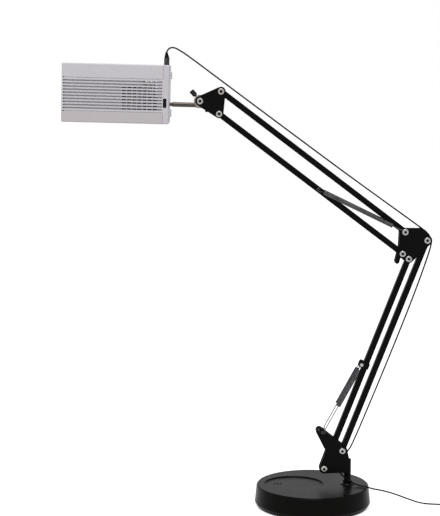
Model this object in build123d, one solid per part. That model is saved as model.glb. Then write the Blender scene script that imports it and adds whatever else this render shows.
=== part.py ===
from build123d import *

import math
import os

os.makedirs("parts", exist_ok=True)

# Art projector on a spring-balanced swing arm, in millimetres.
# +X points right along the arms' plane, +Y to the back, +Z up; the origin is under the middle of the base.
# Every piece is written to its own STEP file under its own name.

# Base: a round weighted foot with a shallow dish in its top
BASE_TOP_RADIUS = 97.5
BASE_SKIRT_RADIUS = 100.5
BASE_HEIGHT = 39.0
RIM_BEVEL = 2.0
SKIRT_HEIGHT = 9.0
SKIRT_CURL = 4.0
SHELL_WALL = 3.0
SHELL_TOP_THICKNESS = 4.5
SHELL_GROUND_GAP = 1.5
DISH_CENTRE_X = -32.6
DISH_RADIUS = 52.0
DISH_DEPTH = 2.0
PAD_INSET = 2.5
PAD_THICKNESS = 3.0
WEIGHT_GAP = 3.0
WEIGHT_HEIGHT = 28.0
BASE_SCREW_CIRCLE = 70.0
BASE_SCREW_COUNT = 3
BASE_SCREW_RADIUS = 2.5
BASE_SCREW_HEAD_RADIUS = 4.5
BASE_SCREW_HEAD_HEIGHT = 4.0
BASE_BOSS_RADIUS = 6.0

# Post and the bush that it turns in
POST_INSET = 36.5
POST_RADIUS = 6.0
POST_TOP_Z = 83.5
POST_COLLAR_RADIUS = 8.0
POST_COLLAR_HEIGHT = 5.0
POST_END_GAP = 0.2
BUSH_WALL = 3.0
BUSH_FLANGE_RADIUS = 12.0
BUSH_FLANGE_THICKNESS = 2.0
SOCKET_FLOOR_THICKNESS = 6.0
TURNING_CLEARANCE = 0.05

# Arms: two parallelograms of square tube
ARM_LENGTH = 394.0
LOWER_ARM_ANGLE = 68.9
UPPER_ARM_ANGLE = 142.8
LINK_WIDTH = 10.0
LINK_WALL = 1.2
REAR_FOOT = (51.0, 99.0)
FRONT_FOOT_OFFSET = (-31.3, -31.6)
UPPER_ROOT_OFFSET = (-38.5, 15.0)
BOTTOM_LINK_OFFSET = (-3.3, -37.8)
TILT_PIVOT_OFFSET = (-35.5, -16.2)

# Stamped bracket plates, one each side of the links
PLATE_THICKNESS = 2.0
WASHER_THICKNESS = 0.8
WASHER_RADIUS = 4.8
LINK_SIDE_GAP = 1.0
PIVOT_END_RADIUS = 9.0
BASE_WAIST_BACK = 20.2
BASE_WAIST_RADIUS = 8.0
BASE_PLATE_DROP = 34.0
BASE_CORNER_RADIUS = 4.5
ELBOW_CORNER_BACK = 10.5
ELBOW_CORNER_RISE = 12.2
ELBOW_CORNER_RADIUS = 8.0
ELBOW_LEG_TOP = (-5.0, 3.0)
ELBOW_LEG_END = (-9.3, -13.5)
STOP_LUG_OFFSET = (11.0, -16.3)
STOP_LUG_RADIUS = 2.6

# Pivot bolts with domed socket heads, and their nuts
BOLT_RADIUS = 2.5
BOLT_HEAD_RADIUS = 5.5
BOLT_HEAD_HEIGHT = 3.2
BOLT_HEAD_DOME = 1.6
BOLT_SOCKET_FLATS = 4.6
BOLT_SOCKET_DEPTH = 2.4
BOLT_TAIL = 1.0
NUT_FLATS = 8.0
NUT_HEIGHT = 4.0
OPEN_PIVOT_CLEARANCE = 0.4

# Balance springs: a coil hooked to the link, and a hook wire from the bracket that runs inside it
SPRING_SIDE = 12.6
SPRING_MEAN_RADIUS = 3.2
SPRING_WIRE_RADIUS = 0.8
SPRING_CURL_COUNT = 24
SPRING_PIN_RADIUS = 2.0
SPRING_PIN_HEAD_RADIUS = 2.9
SPRING_PIN_HEAD = 1.5
PIN_HEAD_GAP = 0.6
SPRING_HOOK_CLEARANCE = 0.3
EYE_OPENING = 60.0
LOWER_CLIP_ALONG = 194.7
LOWER_CLIP_FORWARD = 7.7
LOWER_CLIP_LENGTH = 12.0
CLIP_WALL = 1.5
UPPER_PIN_ALONG = 182.0
EAR = (11.0, 134.0)
LOWER_WIRE_SHOWN = 53.0
UPPER_WIRE_SHOWN = 24.0
WIRE_INSIDE = 46.0

# Head joint: knuckle, rod and lock screw
KNUCKLE_RADIUS = 10.6
KNUCKLE_THICKNESS = 10.0
KNUCKLE_HEEL = 12.0
KNUCKLE_HEEL_FRONT = -6.0
KNUCKLE_HEEL_BACK = 8.0
ROD_RADIUS = 4.0
ROD_DROP = 7.0
ROD_INNER_X = 4.0
ROD_SHOULDER_X = -47.0
STUD_RADIUS = 3.1
STUD_LENGTH = 12.0
LOCK_ANGLE = 132.0
LOCK_SHANK_RADIUS = 2.0
LOCK_GRIP_RADIUS = 4.2
LOCK_GRIP_START = 12.0
LOCK_GRIP_END = 23.0
LOCK_TIP_GAP = 0.3

# Projector box, placed from the tilt pivot and leaning a little as it was left
HEAD_TILT = 1.45
BOX_RIGHT = -51.5
BOX_LENGTH = 179.5
BOX_DEPTH = 86.0
BOX_HEIGHT = 98.3
BOX_MID_Z = 9.75
BOX_EDGE_RADIUS = 2.0
BOX_WALL = 2.5
CAP_LENGTH = 10.5
FRONT_COVER_HEIGHT = 18.9
REAR_COVER_HEIGHT = 23.4
SEAM_WIDTH = 0.6
SEAM_DEPTH = 0.8
GROOVE_COUNT = 10
GROOVE_WIDTH = 2.4
GROOVE_DEPTH = 1.4
VENT_COLUMN_COUNT = 7
VENT_TALL_COLUMN_COUNT = 3
VENT_ROW_COUNT = 8
VENT_EXTRA_ROW_COUNT = 2
VENT_PITCH = 8.63
VENT_SLOT_LENGTH = 6.2
VENT_FROM_CAP = 12.8
END_HOLE_SIZE = 1.8
END_HOLE_FROM_LEFT = 3.5

# Inside the projector
BOARD_THICKNESS = 1.6
BOARD_EDGE_GAP = 2.5
CONNECTOR_BAY = 7.4
STANDOFF_RADIUS = 3.5
CASE_SCREW_INSET = 9.0
CASE_SCREW_RADIUS = 1.4
CASE_SCREW_HEAD_RADIUS = 2.8
CASE_SCREW_HEAD_HEIGHT = 1.6
CASE_SCREW_LENGTH = 7.0
HDMI_Z = -4.4
HDMI_WIDTH = 15.4
HDMI_HEIGHT = 5.8
HDMI_BODY_DEPTH = 11.5
HDMI_WALL = 0.5
HDMI_TONGUE_START = 5.0
HDMI_TONGUE_THICKNESS = 1.2
JACK_BODY = 7.2
JACK_DEPTH = 15.0
JACK_BORE_RADIUS = 2.85
PLUG_SLEEVE_RADIUS = 2.75
PLUG_SLEEVE_LENGTH = 9.5
PLUG_BARREL_RADIUS = 4.6
PLUG_BARREL_LENGTH = 12.0
BOOT_END_RADIUS = 2.1
TRIPOD_BUSH_RADIUS = 5.5
TRIPOD_BUSH_LENGTH = 9.0
TRIPOD_BOSS_WALL = 2.5
FOOT_THICKNESS = 2.5
FOOT_WIDTH = 12.0
FOOT_Y = 28.0
FOOT_Z = (41.0, -22.5)
LENS_X = -190.0
LENS_RADIUS = 17.0
LENS_WALL = 2.0
LENS_BARREL_LENGTH = 32.0
LENS_RECESS = 2.2
LENS_GLASS_THICKNESS = 7.0
LENS_GLASS_SETBACK = 3.0
FOCUS_RING_WALL = 3.0
FOCUS_RING_LENGTH = 8.0
FOCUS_RING_SETBACK = 0.6
FOCUS_GAP = 0.3
ENGINE_LENGTH = 84.0
ENGINE_LEFT_OF_LENS = 26.0
ENGINE_POST_INSET = 10.0
ENGINE_DEPTH = 50.0
ENGINE_HEIGHT = 34.0
ENGINE_POST_RADIUS = 4.0
FAN_SIZE = 52.0
FAN_THICKNESS = 10.0
FAN_BORE_RADIUS = 24.0
FAN_BLADE_COUNT = 7
FAN_HUB_RADIUS = 9.0
FAN_PIN_RADIUS = 1.5
FAN_TIP_GAP = 1.0
SINK_FIN_COUNT = 9
SINK_FIN_THICKNESS = 1.6
SINK_BASE = 5.0
SINK_DEPTH = 26.0
BUTTON_RADIUS = 5.0
BUTTON_PROUD = 0.6
BUTTON_GAP = 0.3
BUTTON_FLANGE_RADIUS = 6.5
BUTTON_FLANGE_THICKNESS = 1.2
BUTTON_BELOW_SEAM = 5.5
SWITCH_GAP = 1.2
SWITCH_SIZE = 6.0

# Cord: a light low-voltage lead
CORD_RADIUS = 1.3
COIL_LOOP_COUNT = 3
COIL_LAYER_COUNT = 4
COIL_STEP = 3.06
COIL_OUTER_RADIUS = 19.0
COIL_CENTRE = (264.0, 5.0)
COIL_LIFT = 1.0
COIL_EXIT = 16.0
TIE_WIDTH = 8.0
TIE_THICKNESS = 0.7
TIE_GAP = 0.25
RELIEF_LENGTH = 16.0
RELIEF_TIP_RADIUS = 2.2
RELIEF_ROOT_RADIUS = 3.6
ADAPTER_LENGTH = 62.0
ADAPTER_WIDTH = 36.0
ADAPTER_HEIGHT = 27.0
ADAPTER_EDGE_RADIUS = 4.0
BLADE_LENGTH = 17.0
BLADE_WIDTH = 6.4
BLADE_THICKNESS = 1.6
BLADE_SPACING = 12.7

# The cord's whole route, as points picked by hand: up out of the plug, along the arms, through the
# base bracket, round the post, over the rim of the base and along the table to the coil
CORD_ROUTE = [
    (-251.2, 0, 785.3),
    (-249.3, 0, 789.9),
    (-245.3, 0, 792.9),
    (-239.3, 0, 793.6),
    (-231.1, 0, 789.9),
    (-214.3, 0, 779.0),
    (-160.0, 0, 738.5),
    (-60.0, 0, 664.3),
    (60.0, 0, 575.6),
    (186.5, 0, 485.2),
    (194.4, 0, 478.4),
    (200.2, 0, 469.0),
    (201.4, 0, 457.5),
    (173.2, 0, 374.0),
    (137.0, 0, 279.0),
    (100.5, 0, 187.0),
    (68.6, 0, 108.6),
    (60.8, 0, 96.6),
    (52.6, 0, 86.8),
    (47.6, -0.6, 75.6),
    (46.2, -2.2, 65.6),
    (48.2, -3.6, 58.6),
    (52.0, -6.8, 54.8),
    (57.2, -9.8, 51.6),
    (63.0, -11.9, 47.6),
    (69.2, -13.8, 44.2),
    (75.6, -16.6, 41.6),
    (82.6, -21.8, 40.8),
    (88.8, -27.2, 40.9),
    (95.0, -31.0, 40.4),
    (101.8, -30.2, 37.9),
    (110.4, -26.8, 35.6),
    (119.2, -23.2, 32.9),
    (128.2, -19.6, 29.8),
    (137.2, -16.0, 26.3),
    (146.2, -12.4, 22.4),
    (155.4, -9.0, 18.1),
    (164.6, -5.8, 13.9),
    (173.8, -2.8, 9.9),
    (182.8, -0.4, 6.1),
    (191.8, 1.6, 3.5),
    (201.0, 2.8, 2.0),
    (210.4, 3.0, 1.4),
    (220.0, 1.8, 1.4),
    (229.4, -2.0, 1.4),
    (238.0, -7.4, 1.7),
    (246.4, -12.0, 2.2),
    (253.8, -14.0, 2.3),
    (261.4, -14.0, 2.3),
]
# The runs of that route at whose middles the upper, lower and table stretches meet
ELBOW_RUN_COUNT = 11
BRACKET_RUN_COUNT = 20

# Places that follow from the sizes
POST_X = BASE_TOP_RADIUS - POST_INSET
PAD_RADIUS = BASE_SKIRT_RADIUS - SKIRT_CURL - SHELL_WALL - PAD_INSET
WEIGHT_RADIUS = min(PAD_RADIUS, BASE_TOP_RADIUS - SHELL_WALL - WEIGHT_GAP) - WEIGHT_GAP
SIDE_INNER = LINK_WIDTH / 2 + LINK_SIDE_GAP
SIDE_OUTER = SIDE_INNER + PLATE_THICKNESS
HOOK_REACH = SPRING_SIDE + SPRING_WIRE_RADIUS + PIN_HEAD_GAP
BOX_LEFT = BOX_RIGHT - BOX_LENGTH
BOX_TOP = BOX_MID_Z + BOX_HEIGHT / 2
BOX_BOTTOM = BOX_MID_Z - BOX_HEIGHT / 2
CAP_X = BOX_RIGHT - CAP_LENGTH
UPPER_SEAM_Z = BOX_TOP - REAR_COVER_HEIGHT
LOWER_SEAM_Z = BOX_BOTTOM + FRONT_COVER_HEIGHT
BUTTON_Z = UPPER_SEAM_Z - BUTTON_BELOW_SEAM
INNER_Y = BOX_DEPTH / 2 - BOX_WALL
BOARD_DEPTH = BOX_DEPTH - 2 * BOX_WALL - 2 * BOARD_EDGE_GAP
BOARD_HEIGHT = BOX_HEIGHT - 2 * BOX_WALL - 2 * BOARD_EDGE_GAP
CASE_SCREW_Y = BOX_DEPTH / 2 - CASE_SCREW_INSET
CASE_SCREW_Z = BOX_HEIGHT / 2 - CASE_SCREW_INSET
BOARD_X = BOX_RIGHT - BOX_WALL - CONNECTOR_BAY
WEIGHT_TOP = PAD_THICKNESS + WEIGHT_HEIGHT
SHELL_CEILING = BASE_HEIGHT - SHELL_TOP_THICKNESS
BUSH_RADIUS = POST_RADIUS + TURNING_CLEARANCE + BUSH_WALL
SOCKET_FLOOR_Z = PAD_THICKNESS + SOCKET_FLOOR_THICKNESS


def shifted(point, offset):
    return (point[0] + offset[0], point[1] + offset[1])


def along(point, angle, distance):
    turn = math.radians(angle)
    return (point[0] + distance * math.cos(turn), point[1] + distance * math.sin(turn))


# Pivots of the two parallelograms, as (x, z)
FRONT_FOOT = shifted(REAR_FOOT, FRONT_FOOT_OFFSET)
REAR_TOP = along(REAR_FOOT, LOWER_ARM_ANGLE, ARM_LENGTH)
FRONT_TOP = along(FRONT_FOOT, LOWER_ARM_ANGLE, ARM_LENGTH)
TOP_ROOT = shifted(REAR_TOP, UPPER_ROOT_OFFSET)
BOTTOM_ROOT = shifted(TOP_ROOT, BOTTOM_LINK_OFFSET)
TOP_TIP = along(TOP_ROOT, UPPER_ARM_ANGLE, ARM_LENGTH)
BOTTOM_TIP = along(BOTTOM_ROOT, UPPER_ARM_ANGLE, ARM_LENGTH)
TILT_PIVOT = shifted(TOP_TIP, TILT_PIVOT_OFFSET)

# Spring pins: the lower one sits in front of its link, the upper one goes through its link
LOWER_PIN = along(along(FRONT_FOOT, LOWER_ARM_ANGLE, LOWER_CLIP_ALONG), LOWER_ARM_ANGLE + 90, LOWER_CLIP_FORWARD)
UPPER_PIN = along(BOTTOM_ROOT, UPPER_ARM_ANGLE, UPPER_PIN_ALONG)


def save(shape, name):
    """Write one piece to its own STEP file."""
    export_step(shape, "parts/" + name + ".step")


def across(x, z, y):
    """A place on the arms' plane whose local +Z points to the front, out of the near side."""
    return Location(Plane(origin=(x, y, z), x_dir=(1, 0, 0), z_dir=(0, -1, 0)))


def disc_y(point, radius, y_from, y_to):
    """A round bar across the arms, from one Y to another."""
    bar = Cylinder(radius, y_to - y_from, align=(Align.CENTER, Align.CENTER, Align.MIN))
    return across(point[0], point[1], y_to) * bar


def block(x_range, y_range, z_range):
    """A plain box between two corners."""
    size = [high - low for low, high in (x_range, y_range, z_range)]
    centre = [(high + low) / 2 for low, high in (x_range, y_range, z_range)]
    return Pos(*centre) * Box(*size)


def in_head(shape):
    """Move a piece drawn from the tilt pivot to its place, leaning as the projector leans."""
    return Location((TILT_PIVOT[0], 0, TILT_PIVOT[1])) * Rot(0, HEAD_TILT, 0) * shape


# Base
def base_shell():
    rim_foot = BASE_SKIRT_RADIUS - SKIRT_CURL
    outline = [
        (0, BASE_HEIGHT),
        (BASE_TOP_RADIUS - RIM_BEVEL, BASE_HEIGHT),
        (BASE_TOP_RADIUS, BASE_HEIGHT - RIM_BEVEL),
        (BASE_SKIRT_RADIUS, SKIRT_HEIGHT),
        (rim_foot, SHELL_GROUND_GAP),
        (rim_foot - SHELL_WALL, SHELL_GROUND_GAP),
        (BASE_SKIRT_RADIUS - SHELL_WALL, SKIRT_HEIGHT),
        (BASE_TOP_RADIUS - SHELL_WALL, SHELL_CEILING),
        (0, SHELL_CEILING),
    ]
    shell = revolve(Plane.XZ * make_face(Polyline(*outline, close=True)), Axis.Z)
    dish = Cylinder(DISH_RADIUS, DISH_DEPTH, align=(Align.CENTER, Align.CENTER, Align.MAX))
    dish = chamfer(dish.edges().sort_by(Axis.Z)[0], DISH_DEPTH * 0.6)
    shell -= Pos(DISH_CENTRE_X, 0, BASE_HEIGHT) * dish
    boss = Cylinder(BASE_BOSS_RADIUS, SHELL_CEILING - WEIGHT_TOP, align=(Align.CENTER, Align.CENTER, Align.MIN))
    for place in base_screw_places(WEIGHT_TOP):
        shell += place * boss
        shell -= place * Cylinder(BASE_SCREW_RADIUS, 2 * (SHELL_CEILING - WEIGHT_TOP))
    return shell - Pos(POST_X, 0, BASE_HEIGHT) * Cylinder(BUSH_RADIUS, 4 * SHELL_TOP_THICKNESS)


def base_screw_places(z):
    """Three screw places on a circle, kept clear of the post's socket."""
    step = 360 / BASE_SCREW_COUNT
    return [Rot(0, 0, step / 2 + step * i) * Pos(BASE_SCREW_CIRCLE, 0, z) for i in range(BASE_SCREW_COUNT)]


def base_weight():
    weight = Pos(0, 0, PAD_THICKNESS) * Cylinder(
        WEIGHT_RADIUS, WEIGHT_HEIGHT, align=(Align.CENTER, Align.CENTER, Align.MIN)
    )
    socket = Cylinder(BUSH_RADIUS, WEIGHT_HEIGHT, align=(Align.CENTER, Align.CENTER, Align.MIN))
    weight -= Pos(POST_X, 0, SOCKET_FLOOR_Z) * socket
    head_room = Cylinder(
        BASE_SCREW_HEAD_RADIUS, BASE_SCREW_HEAD_HEIGHT, align=(Align.CENTER, Align.CENTER, Align.MIN)
    )
    for place in base_screw_places(PAD_THICKNESS):
        weight -= place * head_room
        weight -= place * Cylinder(BASE_SCREW_RADIUS, 3 * WEIGHT_HEIGHT)
    return weight


def base_screws():
    length = SHELL_CEILING - PAD_THICKNESS - BASE_SCREW_HEAD_HEIGHT - 1
    screw = Cylinder(
        BASE_SCREW_HEAD_RADIUS - 0.3, BASE_SCREW_HEAD_HEIGHT, align=(Align.CENTER, Align.CENTER, Align.MIN)
    )
    shank = Cylinder(BASE_SCREW_RADIUS - 0.1, length, align=(Align.CENTER, Align.CENTER, Align.MIN))
    screw += Pos(0, 0, BASE_SCREW_HEAD_HEIGHT) * shank
    screw -= extrude(RegularPolygon(BOLT_SOCKET_FLATS / 2, 6, major_radius=False), BOLT_SOCKET_DEPTH)
    return Compound([place * screw for place in base_screw_places(PAD_THICKNESS)])


def foot_pad():
    pad = Cylinder(PAD_RADIUS, PAD_THICKNESS, align=(Align.CENTER, Align.CENTER, Align.MIN))
    return chamfer(pad.edges().sort_by(Axis.Z)[0], 0.8)


def socket_bush():
    height = BASE_HEIGHT + BUSH_FLANGE_THICKNESS - SOCKET_FLOOR_Z
    bush = Cylinder(BUSH_RADIUS, height, align=(Align.CENTER, Align.CENTER, Align.MIN))
    flange = Cylinder(BUSH_FLANGE_RADIUS, BUSH_FLANGE_THICKNESS, align=(Align.CENTER, Align.CENTER, Align.MAX))
    flange = chamfer(flange.edges().sort_by(Axis.Z)[-1], 0.8)
    bush += Pos(0, 0, height) * flange
    bush -= Cylinder(POST_RADIUS + TURNING_CLEARANCE, 3 * height)
    return Pos(POST_X, 0, SOCKET_FLOOR_Z) * bush


def post():
    bottom = SOCKET_FLOOR_Z + POST_END_GAP
    bar = Cylinder(POST_RADIUS, POST_TOP_Z - bottom, align=(Align.CENTER, Align.CENTER, Align.MIN))
    bar = chamfer(bar.edges().sort_by(Axis.Z)[0], 1)
    collar = Cylinder(POST_COLLAR_RADIUS, POST_COLLAR_HEIGHT, align=(Align.CENTER, Align.CENTER, Align.MIN))
    collar = fillet(collar.edges().sort_by(Axis.Z)[-1], 1)
    collar_z = BASE_HEIGHT + BUSH_FLANGE_THICKNESS + 2 * TURNING_CLEARANCE
    return Pos(POST_X, 0, bottom) * bar + Pos(POST_X, 0, collar_z) * collar


# Bracket plates
def rounded_plate(rounds, holes):
    """A flat plate in the arms' plane: the hull of some round corners, with round holes."""
    edges = []
    for (x, z), radius in rounds:
        edges += (Pos(x, z) * Circle(radius)).edges()
    sheet = make_hull(edges)
    for (x, z), radius in holes:
        sheet -= Pos(x, z) * Circle(radius)
    return sheet


def near_and_far(sheet):
    """Give a flat outline its thickness on the near side and on the far side of the links."""
    near = Plane.XZ.offset(SIDE_INNER) * sheet
    far = Plane.XZ.offset(-SIDE_OUTER) * sheet
    return extrude(near, PLATE_THICKNESS), extrude(far, PLATE_THICKNESS)


def base_plates():
    waist = shifted(REAR_FOOT, (-BASE_WAIST_BACK, 0.3))
    low_corner = (POST_X - 2, REAR_FOOT[1] - BASE_PLATE_DROP)
    high_corner = (POST_X - 2, POST_TOP_Z - 1)
    hole = BOLT_RADIUS + TURNING_CLEARANCE
    lobe = rounded_plate([(EAR, 6), (REAR_FOOT, PIVOT_END_RADIUS), (waist, BASE_WAIST_RADIUS)], [])
    body = rounded_plate(
        [
            (waist, BASE_WAIST_RADIUS),
            (REAR_FOOT, PIVOT_END_RADIUS),
            (FRONT_FOOT, 8.5),
            (low_corner, BASE_CORNER_RADIUS),
            (high_corner, BASE_CORNER_RADIUS),
        ],
        [],
    )
    sheet = lobe + body
    ear_hole = shifted(EAR, (-0.6, 0.6))
    for (x, z), radius in [(REAR_FOOT, hole), (FRONT_FOOT, hole), (ear_hole, 2.1)]:
        sheet -= Pos(x, z) * Circle(radius)
    stud_x, stud_z = lower_stud()
    sheet -= Pos(stud_x, stud_z) * Circle(SPRING_PIN_RADIUS - 0.5)
    return near_and_far(sheet)


def lower_stud():
    """Where the lower springs' studs stand, just behind the ear's hole."""
    return shifted(EAR, (6.6, -1.4))


def elbow_plates():
    hole = BOLT_RADIUS + TURNING_CLEARANCE
    top_left = shifted(TOP_ROOT, (-3.2, -0.6))
    top_right = shifted(REAR_TOP, (-ELBOW_CORNER_BACK, ELBOW_CORNER_RISE))
    sheet = rounded_plate(
        [(top_left, 6), (top_right, ELBOW_CORNER_RADIUS), (REAR_TOP, 8.5), (FRONT_TOP, 7.5), (BOTTOM_ROOT, 7.5)],
        [],
    )
    leg_top = shifted(BOTTOM_ROOT, ELBOW_LEG_TOP)
    leg_end = shifted(BOTTOM_ROOT, ELBOW_LEG_END)
    sheet += rounded_plate([(leg_top, 4), (leg_end, 3.8)], [])
    for x, z in (TOP_ROOT, BOTTOM_ROOT, REAR_TOP, FRONT_TOP):
        sheet -= Pos(x, z) * Circle(hole)
    return near_and_far(sheet)


def head_plates():
    hole = BOLT_RADIUS + TURNING_CLEARANCE
    sheet = rounded_plate(
        [(TILT_PIVOT, 8.3), (TOP_TIP, 7.8), (BOTTOM_TIP, 7.4)],
        [(TILT_PIVOT, hole), (TOP_TIP, hole), (BOTTOM_TIP, hole)],
    )
    stop_x, stop_z = shifted(TILT_PIVOT, STOP_LUG_OFFSET)
    sheet += Pos(stop_x, stop_z) * Circle(STOP_LUG_RADIUS)
    return near_and_far(sheet)


# Pivot fasteners
def pivot_bolt(point, reach):
    """A socket-head bolt and its nut, as two solids, clamping at a distance each side of the middle."""
    head = Cylinder(BOLT_HEAD_RADIUS, BOLT_HEAD_HEIGHT, align=(Align.CENTER, Align.CENTER, Align.MIN))
    head = fillet(head.edges().sort_by(Axis.Z)[-1], BOLT_HEAD_DOME)
    socket = RegularPolygon(BOLT_SOCKET_FLATS / 2, 6, major_radius=False)
    head -= Pos(0, 0, BOLT_HEAD_HEIGHT - BOLT_SOCKET_DEPTH) * extrude(socket, BOLT_SOCKET_DEPTH)
    shank_length = 2 * reach + NUT_HEIGHT + BOLT_TAIL
    shank = Cylinder(BOLT_RADIUS, shank_length, align=(Align.CENTER, Align.CENTER, Align.MAX))
    bolt = across(point[0], point[1], -reach) * (head + shank)
    nut = extrude(RegularPolygon(NUT_FLATS / 2, 6, major_radius=False), NUT_HEIGHT)
    nut -= Cylinder(BOLT_RADIUS + 0.03, 3 * NUT_HEIGHT)
    nut = across(point[0], point[1], reach + NUT_HEIGHT) * nut
    return [bolt, nut]


def pivot_washers(point):
    """The two thin washers that keep a link clear of its plates."""
    ring = Circle(WASHER_RADIUS) - Circle(BOLT_RADIUS + TURNING_CLEARANCE)
    washer = extrude(ring, WASHER_THICKNESS)
    near = across(point[0], point[1], -SIDE_INNER + WASHER_THICKNESS) * washer
    far = across(point[0], point[1], SIDE_INNER) * washer
    return [near, far]


# Links
def link(start, angle, end_clearance, cross_holes=()):
    """A square tube from one pivot to the other, with its side walls rounded about both bolts."""
    tube = extrude(Pos(ARM_LENGTH / 2, 0) * SlotCenterToCenter(ARM_LENGTH, LINK_WIDTH), LINK_WIDTH / 2, both=True)
    bore = LINK_WIDTH - 2 * LINK_WALL
    tube -= Pos(ARM_LENGTH / 2, 0, 0) * Box(ARM_LENGTH + 2 * LINK_WIDTH, bore, bore)
    tube -= Cylinder(BOLT_RADIUS + TURNING_CLEARANCE, 2 * LINK_WIDTH)
    tube -= Pos(ARM_LENGTH, 0, 0) * Cylinder(BOLT_RADIUS + end_clearance, 2 * LINK_WIDTH)
    for distance, radius in cross_holes:
        tube -= Pos(distance, 0, 0) * Cylinder(radius, 2 * LINK_WIDTH)
    return across(start[0], start[1], 0) * Rot(0, 0, angle) * tube


# Springs
def biarc(p1, t1, p2, t2):
    """Two tangent arcs that leave one point along a direction and reach the next along another."""
    gap = p2 - p1
    both = t1 + t2
    spread = 2 * (1 - t1.dot(t2))
    reach = gap.dot(both)
    if abs(spread) < 1e-9:
        length = gap.length**2 / (4 * gap.dot(t2))
    else:
        length = (math.sqrt(reach**2 + spread * gap.length**2) - reach) / spread
    middle = (p1 + p2 + (t1 - t2) * length) * 0.5
    turn = (middle - p1 - t1 * length).normalized()
    if t1.cross(gap).length < 1e-6 * gap.length:
        return [Line(p1, p2).edge()]
    return [Edge.make_tangent_arc(p1, t1, middle), Edge.make_tangent_arc(middle, turn, p2)]


def arcs_through(points, directions):
    """One tangent chain of arcs through points, with a direction at each."""
    edges = []
    for i in range(len(points) - 1):
        edges += biarc(points[i], directions[i], points[i + 1], directions[i + 1])
    return edges


def tube_along(edges, radius):
    """A round tube along a chain of edges, with its tightest arc in millimetres."""
    path = Wire(edges)
    tube = sweep(Plane(path @ 0, z_dir=path % 0) * Circle(radius), path=path)
    bends = [edge.radius for edge in path.edges() if edge.geom_type == GeomType.CIRCLE]
    print("tube radius", radius, "length", round(path.length, 1), "tightest bend", round(min(bends), 2))
    return tube


def hook_points(steps, pin_radius):
    """An open eye round a pin at the origin, in local (along, aside, y), and its directions."""
    eye = pin_radius + SPRING_WIRE_RADIUS + SPRING_HOOK_CLEARANCE
    points = []
    directions = []
    for i in range(steps + 1):
        turn = math.radians(EYE_OPENING + (360 - 2 * EYE_OPENING) * i / steps)
        points.append(Vector(eye * math.cos(turn), eye * math.sin(turn), 0))
        directions.append(Vector(-math.sin(turn), math.cos(turn), 0))
    return points, directions


def coil_local(length):
    """A hooked coil along local +X, its eye round a pin at the origin, ending at a distance."""
    points, directions = hook_points(4, SPRING_PIN_RADIUS)
    lead = 3.2 * SPRING_MEAN_RADIUS
    pitch = (length - lead) / SPRING_CURL_COUNT
    steps = 2 * SPRING_CURL_COUNT
    for i in range(steps + 1):
        turn = math.pi * i - math.pi / 2
        aside = SPRING_MEAN_RADIUS * math.cos(turn)
        depth = SPRING_MEAN_RADIUS * math.sin(turn)
        points.append(Vector(lead + pitch * i / 2, aside, depth))
        rate = pitch / (2 * math.pi)
        direction = Vector(rate, -SPRING_MEAN_RADIUS * math.sin(turn), SPRING_MEAN_RADIUS * math.cos(turn))
        directions.append(direction.normalized())
    print("spring pitch", round(pitch, 2), "gap between curls", round(pitch - 2 * SPRING_WIRE_RADIUS, 2))
    return tube_along(arcs_through(points, directions), SPRING_WIRE_RADIUS)


def wire_local(length, pin_radius):
    """A straight hook wire along local +X, its eye round a pin at the origin."""
    points, directions = hook_points(4, pin_radius)
    points.append(Vector(4.2 * pin_radius, 0, 0))
    directions.append(Vector(1, 0, 0))
    edges = arcs_through(points, directions)
    edges.append(Line(points[-1], Vector(length, 0, 0)).edge())
    return tube_along(edges, SPRING_WIRE_RADIUS)


def spring_pair(local, start, end):
    """The same piece on both sides of the arm, pointing from one pin to the other."""
    angle = math.degrees(math.atan2(end[1] - start[1], end[0] - start[0]))
    place = [across(start[0], start[1], side) for side in (-SPRING_SIDE, SPRING_SIDE)]
    return Compound([spot * Rot(0, 0, angle) * local for spot in place])


def distance(a, b):
    return math.hypot(b[0] - a[0], b[1] - a[1])


def spring_pin(point):
    """A cross pin that both springs hook on, with a small head at each end."""
    end = HOOK_REACH
    pin = disc_y(point, SPRING_PIN_RADIUS, -end, end)
    for side in (-end - SPRING_PIN_HEAD, end):
        pin += disc_y(point, SPRING_PIN_HEAD_RADIUS, side, side + SPRING_PIN_HEAD)
    return pin


def spring_studs():
    """Two studs riveted in the base plates, one each side, for the lower hook wires."""
    point = lower_stud()
    end = HOOK_REACH
    near = disc_y(point, SPRING_PIN_RADIUS, -end, -SIDE_OUTER)
    near += disc_y(point, SPRING_PIN_RADIUS - 0.5, -SIDE_OUTER, -SIDE_INNER)
    near += disc_y(point, SPRING_PIN_HEAD_RADIUS, -end - SPRING_PIN_HEAD, -end)
    return Compound([near, mirror(near, Plane.XZ)])


def spring_clip():
    """A strap round the front link whose cheeks carry the lower springs' pin."""
    back = LINK_WIDTH / 2 + CLIP_WALL
    front = LOWER_CLIP_FORWARD + SPRING_PIN_RADIUS + 2
    side = LINK_WIDTH / 2 + CLIP_WALL
    strap = block((-LOWER_CLIP_LENGTH / 2, LOWER_CLIP_LENGTH / 2), (-back, front), (-side, side))
    strap = fillet(strap.edges().filter_by(Axis.Z), 3)
    half = LINK_WIDTH / 2
    strap -= block((-LOWER_CLIP_LENGTH, LOWER_CLIP_LENGTH), (-half, 2 * front), (-half, half))
    strap -= Pos(0, LOWER_CLIP_FORWARD, 0) * Cylinder(SPRING_PIN_RADIUS, 4 * side)
    spot = along(FRONT_FOOT, LOWER_ARM_ANGLE, LOWER_CLIP_ALONG)
    return across(spot[0], spot[1], 0) * Rot(0, 0, LOWER_ARM_ANGLE) * strap


# Head joint, drawn from the tilt pivot
def rod_axis_place(x):
    """A place on the rod's line whose local +Z points to the left, along the rod."""
    return Location(Plane(origin=(x, 0, -ROD_DROP), x_dir=(0, 1, 0), z_dir=(-1, 0, 0)))


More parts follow.
